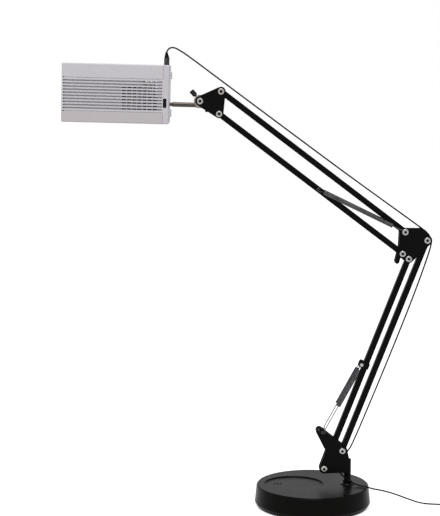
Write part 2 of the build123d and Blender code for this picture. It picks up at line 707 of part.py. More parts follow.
def lock_place(reach):
    """A place on the lock screw's line, out from the tilt pivot, with local +Z outwards."""
    turn = math.radians(LOCK_ANGLE)
    outward = (math.cos(turn), 0, math.sin(turn))
    origin = (reach * outward[0], 0, reach * outward[2])
    return Location(Plane(origin=origin, x_dir=(0, 1, 0), z_dir=outward))


def tilt_knuckle():
    half = KNUCKLE_THICKNESS / 2
    knuckle = disc_y((0, 0), KNUCKLE_RADIUS, -half, half)
    heel = block((KNUCKLE_HEEL_FRONT, KNUCKLE_HEEL_BACK), (-half, half), (-KNUCKLE_HEEL, 0))
    knuckle += heel
    knuckle -= disc_y((0, 0), BOLT_RADIUS + TURNING_CLEARANCE, -2 * half, 2 * half)
    rod_length = ROD_INNER_X + 2 * KNUCKLE_RADIUS
    knuckle -= rod_axis_place(ROD_INNER_X) * Cylinder(
        ROD_RADIUS, rod_length, align=(Align.CENTER, Align.CENTER, Align.MIN)
    )
    thread = Cylinder(
        LOCK_SHANK_RADIUS + TURNING_CLEARANCE, 2 * KNUCKLE_RADIUS, align=(Align.CENTER, Align.CENTER, Align.MIN)
    )
    return in_head(knuckle - lock_place(0) * thread)


def projector_rod():
    rod = Cylinder(ROD_RADIUS, ROD_INNER_X - ROD_SHOULDER_X, align=(Align.CENTER, Align.CENTER, Align.MIN))
    rod = chamfer(rod.edges().sort_by(Axis.Z)[-1], 0.6)
    stud = Cylinder(STUD_RADIUS, STUD_LENGTH, align=(Align.CENTER, Align.CENTER, Align.MIN))
    stud = chamfer(stud.edges().sort_by(Axis.Z)[-1], 0.6)
    rod = rod_axis_place(ROD_INNER_X) * rod + rod_axis_place(ROD_SHOULDER_X) * stud
    return in_head(rod)


def lock_screw():
    tip = BOLT_RADIUS + TURNING_CLEARANCE + LOCK_TIP_GAP
    shank = Cylinder(LOCK_SHANK_RADIUS, LOCK_GRIP_START - tip, align=(Align.CENTER, Align.CENTER, Align.MIN))
    grip = Cylinder(
        LOCK_GRIP_RADIUS, LOCK_GRIP_END - LOCK_GRIP_START, align=(Align.CENTER, Align.CENTER, Align.MIN)
    )
    grip = fillet(grip.edges().sort_by(Axis.Z)[-1], 1.5)
    grip = chamfer(grip.edges().sort_by(Axis.Z)[0], 0.6)
    return in_head(lock_place(tip) * shank + lock_place(LOCK_GRIP_START) * grip)


# Projector casing, drawn from the tilt pivot
def casing():
    """The whole box as one thin shell, before it is split into covers."""
    outer = block((BOX_LEFT, BOX_RIGHT), (-BOX_DEPTH / 2, BOX_DEPTH / 2), (BOX_BOTTOM, BOX_TOP))
    outer = fillet(outer.edges(), BOX_EDGE_RADIUS)
    return outer - block(
        (BOX_LEFT + BOX_WALL, BOX_RIGHT - BOX_WALL),
        (-INNER_Y, INNER_Y),
        (BOX_BOTTOM + BOX_WALL, BOX_TOP - BOX_WALL),
    )


def cover_region(z_from, z_to):
    return block((BOX_LEFT - 5, CAP_X), (-BOX_DEPTH, BOX_DEPTH), (z_from, z_to))


def groove_heights():
    pitch = (UPPER_SEAM_Z - LOWER_SEAM_Z) / (GROOVE_COUNT + 1)
    return [LOWER_SEAM_Z + pitch * (i + 1) for i in range(GROOVE_COUNT)]


def groove_cuts():
    """Long shallow channels along both broad sides of the middle band."""
    cuts = []
    for z in groove_heights():
        for side in (-1, 1):
            inner = side * (BOX_DEPTH / 2 - GROOVE_DEPTH)
            outer = side * BOX_DEPTH
            depth_range = (min(inner, outer), max(inner, outer))
            x_range = (BOX_LEFT + END_HOLE_FROM_LEFT, CAP_X - 1)
            cuts.append(block(x_range, depth_range, (z - GROOVE_WIDTH / 2, z + GROOVE_WIDTH / 2)))
    return cuts


def vent_cuts():
    """Short slots through the wall, in the grooves, in columns beside the cap."""
    cuts = []
    half = GROOVE_WIDTH / 2 - 0.15
    for column in range(VENT_COLUMN_COUNT):
        rows = VENT_ROW_COUNT + (VENT_EXTRA_ROW_COUNT if column < VENT_TALL_COLUMN_COUNT else 0)
        x = CAP_X - VENT_FROM_CAP - VENT_PITCH * column
        for z in groove_heights()[:rows]:
            cuts.append(
                block(
                    (x - VENT_SLOT_LENGTH / 2, x + VENT_SLOT_LENGTH / 2),
                    (-BOX_DEPTH, BOX_DEPTH),
                    (z - half, z + half),
                )
            )
    return cuts


def end_hole_cuts():
    """A small square hole at the left end of every groove and seam."""
    half = END_HOLE_SIZE / 2
    x = BOX_LEFT + END_HOLE_FROM_LEFT
    heights = [LOWER_SEAM_Z] + groove_heights() + [UPPER_SEAM_Z]
    return [block((x - half, x + half), (-BOX_DEPTH, BOX_DEPTH), (z - half, z + half)) for z in heights]


def seam_cuts():
    """A fine line round the band where each cover meets it, and beside the cap."""
    half = SEAM_WIDTH / 2
    cuts = []
    for z in (LOWER_SEAM_Z + half, UPPER_SEAM_Z - half):
        ring = block((BOX_LEFT - 5, CAP_X), (-BOX_DEPTH, BOX_DEPTH), (z - half, z + half))
        core = block(
            (BOX_LEFT + SEAM_DEPTH, 0),
            (-BOX_DEPTH / 2 + SEAM_DEPTH, BOX_DEPTH / 2 - SEAM_DEPTH),
            (z - 2 * half, z + 2 * half),
        )
        cuts.append(ring - core)
    frame = block((CAP_X, CAP_X + SEAM_WIDTH), (-BOX_DEPTH, BOX_DEPTH), (BOX_BOTTOM - 5, BOX_TOP + 5))
    frame -= block(
        (CAP_X - 1, CAP_X + 1),
        (-BOX_DEPTH / 2 + SEAM_DEPTH, BOX_DEPTH / 2 - SEAM_DEPTH),
        (BOX_BOTTOM + SEAM_DEPTH, BOX_TOP - SEAM_DEPTH),
    )
    frame -= block((CAP_X - 1, CAP_X + 1), (-BOX_DEPTH, BOX_DEPTH), (LOWER_SEAM_Z, UPPER_SEAM_Z))
    cuts.append(frame)
    return cuts


def along_x(x_from, x_to, y, z, radius):
    """A round bar along X."""
    bar = Cylinder(radius, x_to - x_from, align=(Align.CENTER, Align.CENTER, Align.MIN))
    return Location(Plane(origin=(x_from, y, z), x_dir=(0, 1, 0), z_dir=(1, 0, 0))) * bar


def along_z(x, y, z_from, z_to, radius):
    """A round bar along Z."""
    bar = Cylinder(radius, z_to - z_from, align=(Align.CENTER, Align.CENTER, Align.MIN))
    return Pos(x, y, z_from) * bar


PLUG_X = BOARD_X + JACK_BODY / 2
CASE_SCREW_SPOTS = [
    (y, BOX_MID_Z + z) for y in (-CASE_SCREW_Y, CASE_SCREW_Y) for z in (-CASE_SCREW_Z, CASE_SCREW_Z)
]
ENGINE_LEFT = LENS_X - ENGINE_LEFT_OF_LENS
ENGINE_RIGHT = ENGINE_LEFT + ENGINE_LENGTH
ENGINE_BOTTOM = BOX_BOTTOM + LENS_RECESS + LENS_BARREL_LENGTH
ENGINE_POSTS = [
    (x, z)
    for x in (ENGINE_LEFT + ENGINE_POST_INSET, ENGINE_RIGHT - ENGINE_POST_INSET)
    for z in (ENGINE_BOTTOM + 8, ENGINE_BOTTOM + ENGINE_HEIGHT - 8)
]
FAN_X = CAP_X - VENT_FROM_CAP - VENT_PITCH * (VENT_COLUMN_COUNT - 1) / 2
FAN_Z = groove_heights()[VENT_ROW_COUNT // 2 - 1] + GROOVE_WIDTH


def centre_frame():
    frame = casing()
    frame -= cover_region(UPPER_SEAM_Z, BOX_TOP + 5)
    frame -= cover_region(BOX_BOTTOM - 5, LOWER_SEAM_Z)
    inner_wall = BOX_RIGHT - BOX_WALL
    for y, z in CASE_SCREW_SPOTS:
        frame += along_x(BOARD_X, inner_wall + 0.1, y, z, STANDOFF_RADIUS)
        frame -= along_x(BOARD_X + 0.5, BOX_RIGHT + 5, y, z, CASE_SCREW_RADIUS)
        frame -= along_x(BOX_RIGHT - CASE_SCREW_HEAD_HEIGHT, BOX_RIGHT + 5, y, z, CASE_SCREW_HEAD_RADIUS)
    boss_end = BOX_RIGHT - TRIPOD_BUSH_LENGTH
    frame += along_x(boss_end, inner_wall + 0.1, 0, -ROD_DROP, TRIPOD_BUSH_RADIUS + TRIPOD_BOSS_WALL)
    frame -= along_x(boss_end - 1, BOX_RIGHT + 5, 0, -ROD_DROP, TRIPOD_BUSH_RADIUS)
    for x, z in ENGINE_POSTS:
        frame += disc_y((x, z), ENGINE_POST_RADIUS, ENGINE_DEPTH / 2, INNER_Y + 0.1)
    window = (BOARD_X, BOARD_X + HDMI_HEIGHT)
    frame -= block(window, (-BOX_DEPTH, -INNER_Y + 1), (HDMI_Z - HDMI_WIDTH / 2, HDMI_Z + HDMI_WIDTH / 2))
    frame -= along_z(PLUG_X, 0, BOX_TOP - 2 * BOX_WALL, BOX_TOP + 5, JACK_BODY / 2 - 0.4)
    frame -= along_x(BOX_LEFT - 5, BOX_LEFT + 2 * BOX_WALL, 0, BUTTON_Z, BUTTON_RADIUS + BUTTON_GAP)
    switch_x = BOX_LEFT + BOX_WALL + BUTTON_FLANGE_THICKNESS + SWITCH_GAP
    shelf = block((BOX_LEFT + BOX_WALL - 0.1, switch_x + SWITCH_SIZE), (8, 10), (BUTTON_Z - 6, BUTTON_Z + 6))
    frame += shelf
    frame += block((switch_x, switch_x + SWITCH_SIZE), (-3, 8.1), (BUTTON_Z - 3, BUTTON_Z + 3))
    cuts = groove_cuts() + vent_cuts() + end_hole_cuts() + seam_cuts()
    return in_head(frame - cuts)


def rear_cover():
    cover = casing() & cover_region(UPPER_SEAM_Z, BOX_TOP + 5)
    return in_head(cover - end_hole_cuts())


def front_cover():
    cover = casing() & cover_region(BOX_BOTTOM - 5, LOWER_SEAM_Z)
    opening = LENS_RADIUS + FOCUS_GAP + FOCUS_RING_WALL + FOCUS_GAP
    cover -= along_z(LENS_X, 0, BOX_BOTTOM - 5, BOX_BOTTOM + 2 * BOX_WALL, opening)
    return in_head(cover - end_hole_cuts())


def case_screws():
    screws = []
    for y, z in CASE_SCREW_SPOTS:
        head_x = BOX_RIGHT - CASE_SCREW_HEAD_HEIGHT
        head = along_x(head_x, BOX_RIGHT - 0.2, y, z, CASE_SCREW_HEAD_RADIUS - 0.2)
        shank = along_x(head_x - CASE_SCREW_LENGTH, head_x, y, z, CASE_SCREW_RADIUS)
        cross = block((BOX_RIGHT - 0.9, BOX_RIGHT), (y - 1.6, y + 1.6), (z - 0.4, z + 0.4))
        cross += block((BOX_RIGHT - 0.9, BOX_RIGHT), (y - 0.4, y + 0.4), (z - 1.6, z + 1.6))
        screws.append(in_head(head + shank - cross))
    return Compound(screws)


def rubber_feet():
    feet = []
    for y in (-FOOT_Y, FOOT_Y):
        for z in FOOT_Z:
            half = FOOT_WIDTH / 2
            foot = block((BOX_RIGHT, BOX_RIGHT + FOOT_THICKNESS), (y - 5, y + 5), (z - half, z + half))
            feet.append(in_head(fillet(foot.edges().sort_by(Axis.X)[-4:], 1)))
    return Compound(feet)


def tripod_bush():
    boss_end = BOX_RIGHT - TRIPOD_BUSH_LENGTH
    bush = along_x(boss_end, BOX_RIGHT, 0, -ROD_DROP, TRIPOD_BUSH_RADIUS)
    bush -= along_x(boss_end - 1, BOX_RIGHT + 1, 0, -ROD_DROP, STUD_RADIUS + TURNING_CLEARANCE)
    return in_head(bush)


def main_board():
    board = block(
        (BOARD_X - BOARD_THICKNESS, BOARD_X),
        (-BOARD_DEPTH / 2, BOARD_DEPTH / 2),
        (BOX_MID_Z - BOARD_HEIGHT / 2, BOX_MID_Z + BOARD_HEIGHT / 2),
    )
    chips = [((-14, 12), 14, 2.0), ((14, 20), 10, 1.6), ((16, -8), 8, 1.6), ((-18, -18), 12, 4.0), ((6, 34), 9, 5.0)]
    face = BOARD_X - BOARD_THICKNESS
    for (y, z), size, height in chips:
        spot = BOX_MID_Z + z
        board += block((face - height, face), (y - size / 2, y + size / 2), (spot - size / 2, spot + size / 2))
    return in_head(board)


def hdmi_socket():
    mouth = -BOX_DEPTH / 2 + 0.3
    back = mouth + HDMI_BODY_DEPTH
    half = HDMI_WIDTH / 2
    shell = block((BOARD_X, BOARD_X + HDMI_HEIGHT), (mouth, back), (HDMI_Z - half, HDMI_Z + half))
    shell -= block(
        (BOARD_X + HDMI_WALL, BOARD_X + HDMI_HEIGHT - HDMI_WALL),
        (mouth - 1, back - 1),
        (HDMI_Z - half + HDMI_WALL, HDMI_Z + half - HDMI_WALL),
    )
    middle = BOARD_X + HDMI_HEIGHT / 2
    tongue = block(
        (middle - HDMI_TONGUE_THICKNESS / 2, middle + HDMI_TONGUE_THICKNESS / 2),
        (mouth + HDMI_TONGUE_START, back),
        (HDMI_Z - half + 2, HDMI_Z + half - 2),
    )
    return in_head(shell + tongue)


def dc_jack():
    top = BOX_TOP - BOX_WALL
    body = block((BOARD_X, BOARD_X + JACK_BODY), (-JACK_BODY / 2, JACK_BODY / 2), (top - JACK_DEPTH, top))
    body -= along_z(PLUG_X, 0, top - JACK_DEPTH + 3, top + 1, JACK_BORE_RADIUS)
    body += along_z(PLUG_X, 0, top - JACK_DEPTH + 2.5, top - 2, 0.9)
    return in_head(body)


def dc_plug():
    barrel = along_z(PLUG_X, 0, BOX_TOP, BOX_TOP + PLUG_BARREL_LENGTH, PLUG_BARREL_RADIUS)
    barrel = fillet(barrel.edges().sort_by(Axis.Z)[0], 0.6)
    sleeve = along_z(PLUG_X, 0, BOX_TOP - PLUG_SLEEVE_LENGTH, BOX_TOP, PLUG_SLEEVE_RADIUS)
    plug = barrel + sleeve
    plug -= along_z(PLUG_X, 0, BOX_TOP - PLUG_SLEEVE_LENGTH - 1, BOX_TOP - 0.5, 1.3)
    return in_head(plug)


def dc_plug_boot():
    """The tapering rubber boot, from the plug's barrel to the start of the cord."""
    end = Vector(*CORD_ROUTE[0])
    direction = Vector(*CORD_ROUTE[1]) - end
    barrel_top = BOX_TOP + PLUG_BARREL_LENGTH
    root = in_head(Pos(PLUG_X, 0, barrel_top) * Circle(PLUG_BARREL_RADIUS - 0.3))
    tip = Plane(origin=end, x_dir=(0, 1, 0), z_dir=direction) * Circle(BOOT_END_RADIUS)
    return loft([root, tip])


def lens_barrel():
    bottom = BOX_BOTTOM + LENS_RECESS
    barrel = along_z(LENS_X, 0, bottom, ENGINE_BOTTOM, LENS_RADIUS)
    glass_room = LENS_GLASS_SETBACK + LENS_GLASS_THICKNESS
    barrel -= along_z(LENS_X, 0, bottom - 1, bottom + glass_room, LENS_RADIUS - LENS_WALL)
    barrel -= along_z(LENS_X, 0, bottom, ENGINE_BOTTOM + 1, LENS_RADIUS - 2 * LENS_WALL)
    return in_head(barrel)


def lens_glass():
    bottom = BOX_BOTTOM + LENS_RECESS + LENS_GLASS_SETBACK
    radius = LENS_RADIUS - LENS_WALL
    glass = along_z(LENS_X, 0, bottom, bottom + LENS_GLASS_THICKNESS, radius)
    ball = 3 * radius
    glass &= Pos(LENS_X, 0, bottom + ball) * Sphere(ball)
    return in_head(glass)


def focus_ring():
    bottom = BOX_BOTTOM + FOCUS_RING_SETBACK
    inner = LENS_RADIUS + FOCUS_GAP
    ring = along_z(LENS_X, 0, bottom, bottom + FOCUS_RING_LENGTH, inner + FOCUS_RING_WALL)
    ring -= along_z(LENS_X, 0, bottom - 1, bottom + FOCUS_RING_LENGTH + 1, inner)
    notch_count = 36
    reach = inner + FOCUS_RING_WALL
    for i in range(notch_count):
        turn = math.radians(360 * i / notch_count)
        spot = (LENS_X + reach * math.cos(turn), reach * math.sin(turn))
        ring -= along_z(spot[0], spot[1], bottom - 1, bottom + 2.5, 0.55)
    return in_head(ring)


def light_engine():
    top = ENGINE_BOTTOM + ENGINE_HEIGHT
    half = ENGINE_DEPTH / 2
    engine = block((ENGINE_LEFT, ENGINE_RIGHT), (-half, half), (ENGINE_BOTTOM, top))
    engine = chamfer(engine.edges().filter_by(Axis.Y), 3)
    return in_head(engine)


def heat_sink():
    """Finned block on the end of the light engine, behind the fan."""
    front = -INNER_Y + FAN_THICKNESS + 0.5
    back = front + SINK_DEPTH
    half = FAN_SIZE / 2 - 2
    x_left = FAN_X - half
    x_right = FAN_X + half
    low = FAN_Z - half
    sink = block((ENGINE_RIGHT, x_right), (back - SINK_BASE, back), (low, FAN_Z + half))
    pitch = (x_right - x_left - SINK_FIN_THICKNESS) / (SINK_FIN_COUNT - 1)
    for i in range(SINK_FIN_COUNT):
        x = x_left + pitch * i
        sink += block((x, x + SINK_FIN_THICKNESS), (front, back), (low, FAN_Z + half))
    return in_head(sink)


def fan_frame():
    half = FAN_SIZE / 2
    near = -INNER_Y
    far = near + FAN_THICKNESS
    frame = block((FAN_X - half, FAN_X + half), (near, far), (FAN_Z - half, FAN_Z + half))
    frame = fillet(frame.edges().filter_by(Axis.Y), 3)
    frame -= disc_y((FAN_X, FAN_Z), FAN_BORE_RADIUS, near - 1, far + 1)
    frame += disc_y((FAN_X, FAN_Z), FAN_HUB_RADIUS, far - 1.5, far)
    for i in range(4):
        arm = block((0, FAN_BORE_RADIUS + 1), (far - 1.5, far), (-1.2, 1.2))
        frame += Pos(FAN_X, 0, FAN_Z) * Rot(0, 45 + 90 * i, 0) * arm
    frame += disc_y((FAN_X, FAN_Z), FAN_PIN_RADIUS, near + 2, far)
    for dx in (-1, 1):
        for dz in (-1, 1):
            spot = (FAN_X + dx * (half - 4), FAN_Z + dz * (half - 4))
            frame -= disc_y(spot, 1.6, near - 1, far + 1)
    return in_head(frame)


def fan_rotor():
    near = -INNER_Y + 1
    far = -INNER_Y + FAN_THICKNESS - 2
    reach = FAN_BORE_RADIUS - FAN_TIP_GAP
    rotor = disc_y((0, 0), FAN_HUB_RADIUS, near, far)
    for i in range(FAN_BLADE_COUNT):
        blade = block((FAN_HUB_RADIUS - 1.5, reach), (-0.5, 0.5), (-3.6, 3.6))
        blade = Rot(32, 0, 0) * blade
        blade &= disc_y((0, 0), reach, (near - far) / 2, (far - near) / 2)
        rotor += Rot(0, 360 / FAN_BLADE_COUNT * i, 0) * Pos(0, (near + far) / 2, 0) * blade
    rotor -= disc_y((0, 0), FAN_PIN_RADIUS + TURNING_CLEARANCE, near - 1, far + 1)
    return in_head(Pos(FAN_X, 0, FAN_Z) * rotor)


def power_button():
    face = BOX_LEFT - BUTTON_PROUD
    inside = BOX_LEFT + BOX_WALL + TURNING_CLEARANCE
    button = along_x(face, inside + 0.1, 0, BUTTON_Z, BUTTON_RADIUS)
    button = fillet(button.edges().sort_by(Axis.X)[0], 0.5)
    button += along_x(inside, inside + BUTTON_FLANGE_THICKNESS, 0, BUTTON_Z, BUTTON_FLANGE_RADIUS)
    return in_head(button)


# Cord
def cord_tube(first_run, last_run, name):
    """A stretch of the cord between the middles of two runs, or from or to the route's own end."""
    points = [Vector(*point) for point in CORD_ROUTE]
    runs = [(b - a).length for a, b in zip(points, points[1:])]
    radii = []
    for i in range(1, len(points) - 1):
        turn = (points[i] - points[i - 1]).get_angle(points[i + 1] - points[i])
        radii.append(0.45 * min(runs[i - 1], runs[i]) / math.tan(math.radians(turn / 2)))
    stretch = points[first_run + 1 : last_run + 1]
    bends = radii[first_run:last_run]
    start = points[0] if first_run == 0 else (points[first_run] + points[first_run + 1]) * 0.5
    at_end = last_run == len(runs) - 1
    end = points[-1] if at_end else (points[last_run] + points[last_run + 1]) * 0.5
    path = FilletPolyline(start, *stretch, end, radius=bends)
    tube = sweep(Plane(path @ 0, z_dir=path % 0) * Circle(CORD_RADIUS), path=path)
    expected = math.pi * CORD_RADIUS**2 * path.length
    print(name, "length", round(path.length, 1), "radii", [round(radius, 1) for radius in bends])
    print(name, "volume over section times length", round(tube.volume / expected, 4))
    return tube, path.length


def coil_height(layer):
    return COIL_LIFT + CORD_RADIUS + COIL_STEP * layer


def coil_point(turns):
    """A point of the piled coil after a number of turns, spiralling in and out a layer at a time."""
    layer_turns = COIL_LOOP_COUNT
    layer = min(int(turns // layer_turns), COIL_LAYER_COUNT - 1)
    inward = turns - layer * layer_turns
    if layer % 2:
        inward = layer_turns - inward
    radius = COIL_OUTER_RADIUS - COIL_STEP * inward
    height = coil_height(layer)
    nearest = round(turns / layer_turns)
    from_change = turns - nearest * layer_turns
    if 0 < nearest < COIL_LAYER_COUNT and abs(from_change) < 0.25:
        share = from_change / 0.5 + 0.5
        height = coil_height(nearest - 1) + COIL_STEP * share * share * (3 - 2 * share)
    angle = -math.pi / 2 + 2 * math.pi * turns
    return Vector(COIL_CENTRE[0] + radius * math.cos(angle), COIL_CENTRE[1] + radius * math.sin(angle), height)


def coil_path():
    """The coil's centre line: a short straight, the turns as arcs, and a straight to the adapter."""
    total = COIL_LAYER_COUNT * COIL_LOOP_COUNT + 0.25
    steps = round(total * 4)
    points = []
    directions = []
    for i in range(steps + 1):
        turns = total * i / steps
        points.append(coil_point(turns))
        small = 0.02
        back = coil_point(max(turns - small, 0))
        ahead = coil_point(min(turns + small, total))
        directions.append((ahead - back).normalized())
    directions[0] = Vector(1, 0, 0)
    directions[-1] = Vector(0, 1, 0)
    start = points[0] - Vector(2 * CORD_RADIUS, 0, 0)
    end = points[-1] + Vector(0, COIL_EXIT, 0)
    edges = [Line(start, points[0]).edge()] + arcs_through(points, directions) + [Line(points[-1], end).edge()]
    return edges, end


def least_coil_gap(path):
    """Smallest distance between turns of the coil, measured on points along it, less the cord."""
    count = 1200
    spots = [path @ (i / count) for i in range(count + 1)]
    skip = int(count * 0.6 / (COIL_LAYER_COUNT * COIL_LOOP_COUNT))
    least = min((spots[i] - spots[j]).length for i in range(count + 1) for j in range(i + skip, count + 1))
    return least - 2 * CORD_RADIUS


def cord_coil():
    edges, end = coil_path()
    path = Wire(edges)
    print("coil length", round(path.length, 1), "least gap", round(least_coil_gap(path), 3))
    return tube_along(edges, CORD_RADIUS), end, path.length


def coil_tie():
    """A strap round the bundle of turns, on the side away from the adapter."""
    half = TIE_WIDTH / 2
    hollow = COIL_OUTER_RADIUS - COIL_STEP * COIL_LOOP_COUNT - CORD_RADIUS
    inner = math.sqrt(hollow**2 - half**2) - TIE_GAP
    outer = COIL_OUTER_RADIUS + CORD_RADIUS + TIE_GAP
    low = COIL_LIFT - TIE_GAP
    high = coil_height(COIL_LAYER_COUNT - 1) + CORD_RADIUS + TIE_GAP
    thick = TIE_THICKNESS
    band = block((-outer - thick, -inner + thick), (-half, half), (low - thick, high + thick))
    band = fillet(band.edges().filter_by(Axis.Y), 1.4)
    band -= block((-outer, -inner), (-TIE_WIDTH, TIE_WIDTH), (low, high))
    return Pos(COIL_CENTRE[0], COIL_CENTRE[1], 0) * band


def adapter_pieces(cord_end):
    """The plug-in power unit: moulded body, tapered strain relief and two flat blades."""
    front = cord_end.Y + RELIEF_LENGTH
    middle_z = ADAPTER_HEIGHT / 2
    body = block(
        (cord_end.X - ADAPTER_WIDTH / 2, cord_end.X + ADAPTER_WIDTH / 2),
        (front, front + ADAPTER_LENGTH),
        (0, ADAPTER_HEIGHT),
    )
    body = fillet(body.edges().filter_by(Axis.Y), ADAPTER_EDGE_RADIUS)
    body = fillet(body.edges().group_by(Axis.Y)[-1], 1.5)
    tip = Plane(origin=cord_end, x_dir=(1, 0, 0), z_dir=(0, 1, 0)) * Circle(RELIEF_TIP_RADIUS)
    root_spot = (cord_end.X, front, middle_z)
    root = Plane(origin=root_spot, x_dir=(1, 0, 0), z_dir=(0, 1, 0)) * Circle(RELIEF_ROOT_RADIUS)
    relief = loft([tip, root])
    blades = []
    back = front + ADAPTER_LENGTH
    for side in (-1, 1):
        x = cord_end.X + side * BLADE_SPACING / 2
        blade = block(
            (x - BLADE_THICKNESS / 2, x + BLADE_THICKNESS / 2),
            (back, back + BLADE_LENGTH),
            (middle_z - BLADE_WIDTH / 2, middle_z + BLADE_WIDTH / 2),
        )
        hole = Location(Plane(origin=(x, back + BLADE_LENGTH - 4, middle_z), x_dir=(0, 1, 0), z_dir=(1, 0, 0)))
        blades.append(blade - hole * Cylinder(1.6, 4 * BLADE_THICKNESS))
    return body, relief, Compound(blades)


# Write the base
save(base_shell(), "base_shell")
save(base_weight(), "base_weight")
save(foot_pad(), "base_foot_pad")
save(socket_bush(), "base_socket_bush")
save(base_screws(), "base_screws")
save(post(), "post")

# Write the brackets and their fasteners
for bracket, plates, pivots in (
    ("base", base_plates(), (REAR_FOOT, FRONT_FOOT)),
    ("elbow", elbow_plates(), (TOP_ROOT, BOTTOM_ROOT, REAR_TOP, FRONT_TOP)),
    ("head", head_plates(), (TILT_PIVOT, TOP_TIP, BOTTOM_TIP)),
):
    bolts = []
    washers = []
    for pivot in pivots:
        reach = HOOK_REACH if pivot is TOP_ROOT else SIDE_OUTER
        bolts += pivot_bolt(pivot, reach)
        washers += pivot_washers(pivot)
    save(plates[0], bracket + "_plate_near")
    save(plates[1], bracket + "_plate_far")
    save(Compound(bolts), bracket + "_pivot_bolts")
    save(Compound(washers), bracket + "_pivot_washers")

# Write the links
open_end = TURNING_CLEARANCE + OPEN_PIVOT_CLEARANCE
save(link(REAR_FOOT, LOWER_ARM_ANGLE, TURNING_CLEARANCE), "lower_rear_link")
save(link(FRONT_FOOT, LOWER_ARM_ANGLE, open_end), "lower_front_link")
save(link(TOP_ROOT, UPPER_ARM_ANGLE, TURNING_CLEARANCE), "upper_top_link")
upper_pin_hole = [(UPPER_PIN_ALONG, SPRING_PIN_RADIUS)]
save(link(BOTTOM_ROOT, UPPER_ARM_ANGLE, open_end, upper_pin_hole), "upper_bottom_link")

# Write the springs and what they hook on
save(spring_clip(), "lower_spring_clip")
save(spring_pin(LOWER_PIN), "lower_spring_pin")
save(spring_studs(), "lower_spring_studs")
save(spring_pin(UPPER_PIN), "upper_spring_pin")
STUD = lower_stud()
lower_span = distance(STUD, LOWER_PIN)
upper_span = distance(TOP_ROOT, UPPER_PIN)
print("lower spring", round(lower_span, 2), "upper spring", round(upper_span, 2))
save(spring_pair(coil_local(lower_span - LOWER_WIRE_SHOWN), LOWER_PIN, STUD), "lower_springs")
lower_wire = wire_local(LOWER_WIRE_SHOWN + WIRE_INSIDE, SPRING_PIN_RADIUS)
save(spring_pair(lower_wire, STUD, LOWER_PIN), "lower_spring_wires")
save(spring_pair(coil_local(upper_span - UPPER_WIRE_SHOWN), UPPER_PIN, TOP_ROOT), "upper_springs")
upper_wire = wire_local(UPPER_WIRE_SHOWN + WIRE_INSIDE, BOLT_RADIUS)
save(spring_pair(upper_wire, TOP_ROOT, UPPER_PIN), "upper_spring_wires")

# Write the head joint and the projector
save(tilt_knuckle(), "tilt_knuckle")
save(projector_rod(), "projector_rod")
save(lock_screw(), "tilt_lock_screw")
save(centre_frame(), "centre_frame")
save(rear_cover(), "rear_cover")
save(front_cover(), "front_cover")
save(case_screws(), "case_screws")
save(rubber_feet(), "rubber_feet")
save(tripod_bush(), "tripod_bush")
save(main_board(), "main_board")
save(hdmi_socket(), "hdmi_socket")
save(dc_jack(), "dc_jack")
save(dc_plug(), "dc_plug")
save(dc_plug_boot(), "dc_plug_boot")
save(lens_barrel(), "lens_barrel")
save(lens_glass(), "lens_glass")
save(focus_ring(), "focus_ring")
save(light_engine(), "light_engine")
save(heat_sink(), "heat_sink")
save(fan_frame(), "fan_frame")
save(fan_rotor(), "fan_rotor")
save(power_button(), "power_button")

# Write the cord and what is on it
coil, coil_end, coil_length = cord_coil()
upper_cord, upper_length = cord_tube(0, ELBOW_RUN_COUNT, "cord_upper")
lower_cord, lower_length = cord_tube(ELBOW_RUN_COUNT, BRACKET_RUN_COUNT, "cord_lower")
floor_cord, floor_length = cord_tube(BRACKET_RUN_COUNT, len(CORD_ROUTE) - 2, "cord_floor")
print("whole cord", round(upper_length + lower_length + floor_length + coil_length, 1))
adapter_body, adapter_relief, adapter_blades = adapter_pieces(coil_end)
save(upper_cord, "cord_upper")
save(lower_cord, "cord_lower")
save(floor_cord, "cord_floor")
save(coil, "cord_coil")
save(coil_tie(), "coil_tie")
save(adapter_body, "adapter_body")
save(adapter_relief, "adapter_strain_relief")
save(adapter_blades, "adapter_blades")
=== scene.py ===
# %% [markdown]
# # An art projector on a spring-balanced arm
#
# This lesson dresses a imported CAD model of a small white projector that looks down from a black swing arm
# on a round weighted base. The CAD solids are already the right size and in the right place, so Blender
# adds what CAD leaves out: the flexible cord, the close-wound springs, the finishes and the studio. Every
# length here is in metres, and the origin is the middle of the base's underside.

# %% Load the frame
import math

import bpy
import numpy as np
from mathutils import Matrix, Vector


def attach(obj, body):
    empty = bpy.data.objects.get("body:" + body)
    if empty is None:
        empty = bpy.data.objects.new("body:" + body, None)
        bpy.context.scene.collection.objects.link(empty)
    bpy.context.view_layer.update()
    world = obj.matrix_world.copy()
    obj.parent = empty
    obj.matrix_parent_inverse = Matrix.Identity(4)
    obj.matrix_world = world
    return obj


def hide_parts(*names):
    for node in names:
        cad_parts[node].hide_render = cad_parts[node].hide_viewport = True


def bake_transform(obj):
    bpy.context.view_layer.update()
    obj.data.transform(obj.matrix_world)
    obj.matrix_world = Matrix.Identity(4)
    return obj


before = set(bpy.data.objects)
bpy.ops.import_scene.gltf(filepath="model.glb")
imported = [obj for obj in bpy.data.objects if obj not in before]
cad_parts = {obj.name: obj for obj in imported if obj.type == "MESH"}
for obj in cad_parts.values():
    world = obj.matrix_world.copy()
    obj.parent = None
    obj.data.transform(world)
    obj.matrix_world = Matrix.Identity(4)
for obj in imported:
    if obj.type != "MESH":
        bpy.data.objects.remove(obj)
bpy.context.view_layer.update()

# %% [markdown]
# ## The camera
#
# The photograph was taken from the front, a little above the top of the arm, through a long lens: the
# base shows as a flat ellipse and the projector's underside hardly shows at all. The place and focal
# length below were solved from the base's ellipse, the pivots and the box's edges, so the render lines up
# with the photograph.

# %% Camera
LENS_MM = 110.67
CAMERA_PLACE = (-0.161238, -2.700, 0.766)
LOOKS_DOWN_DEG = 6.978

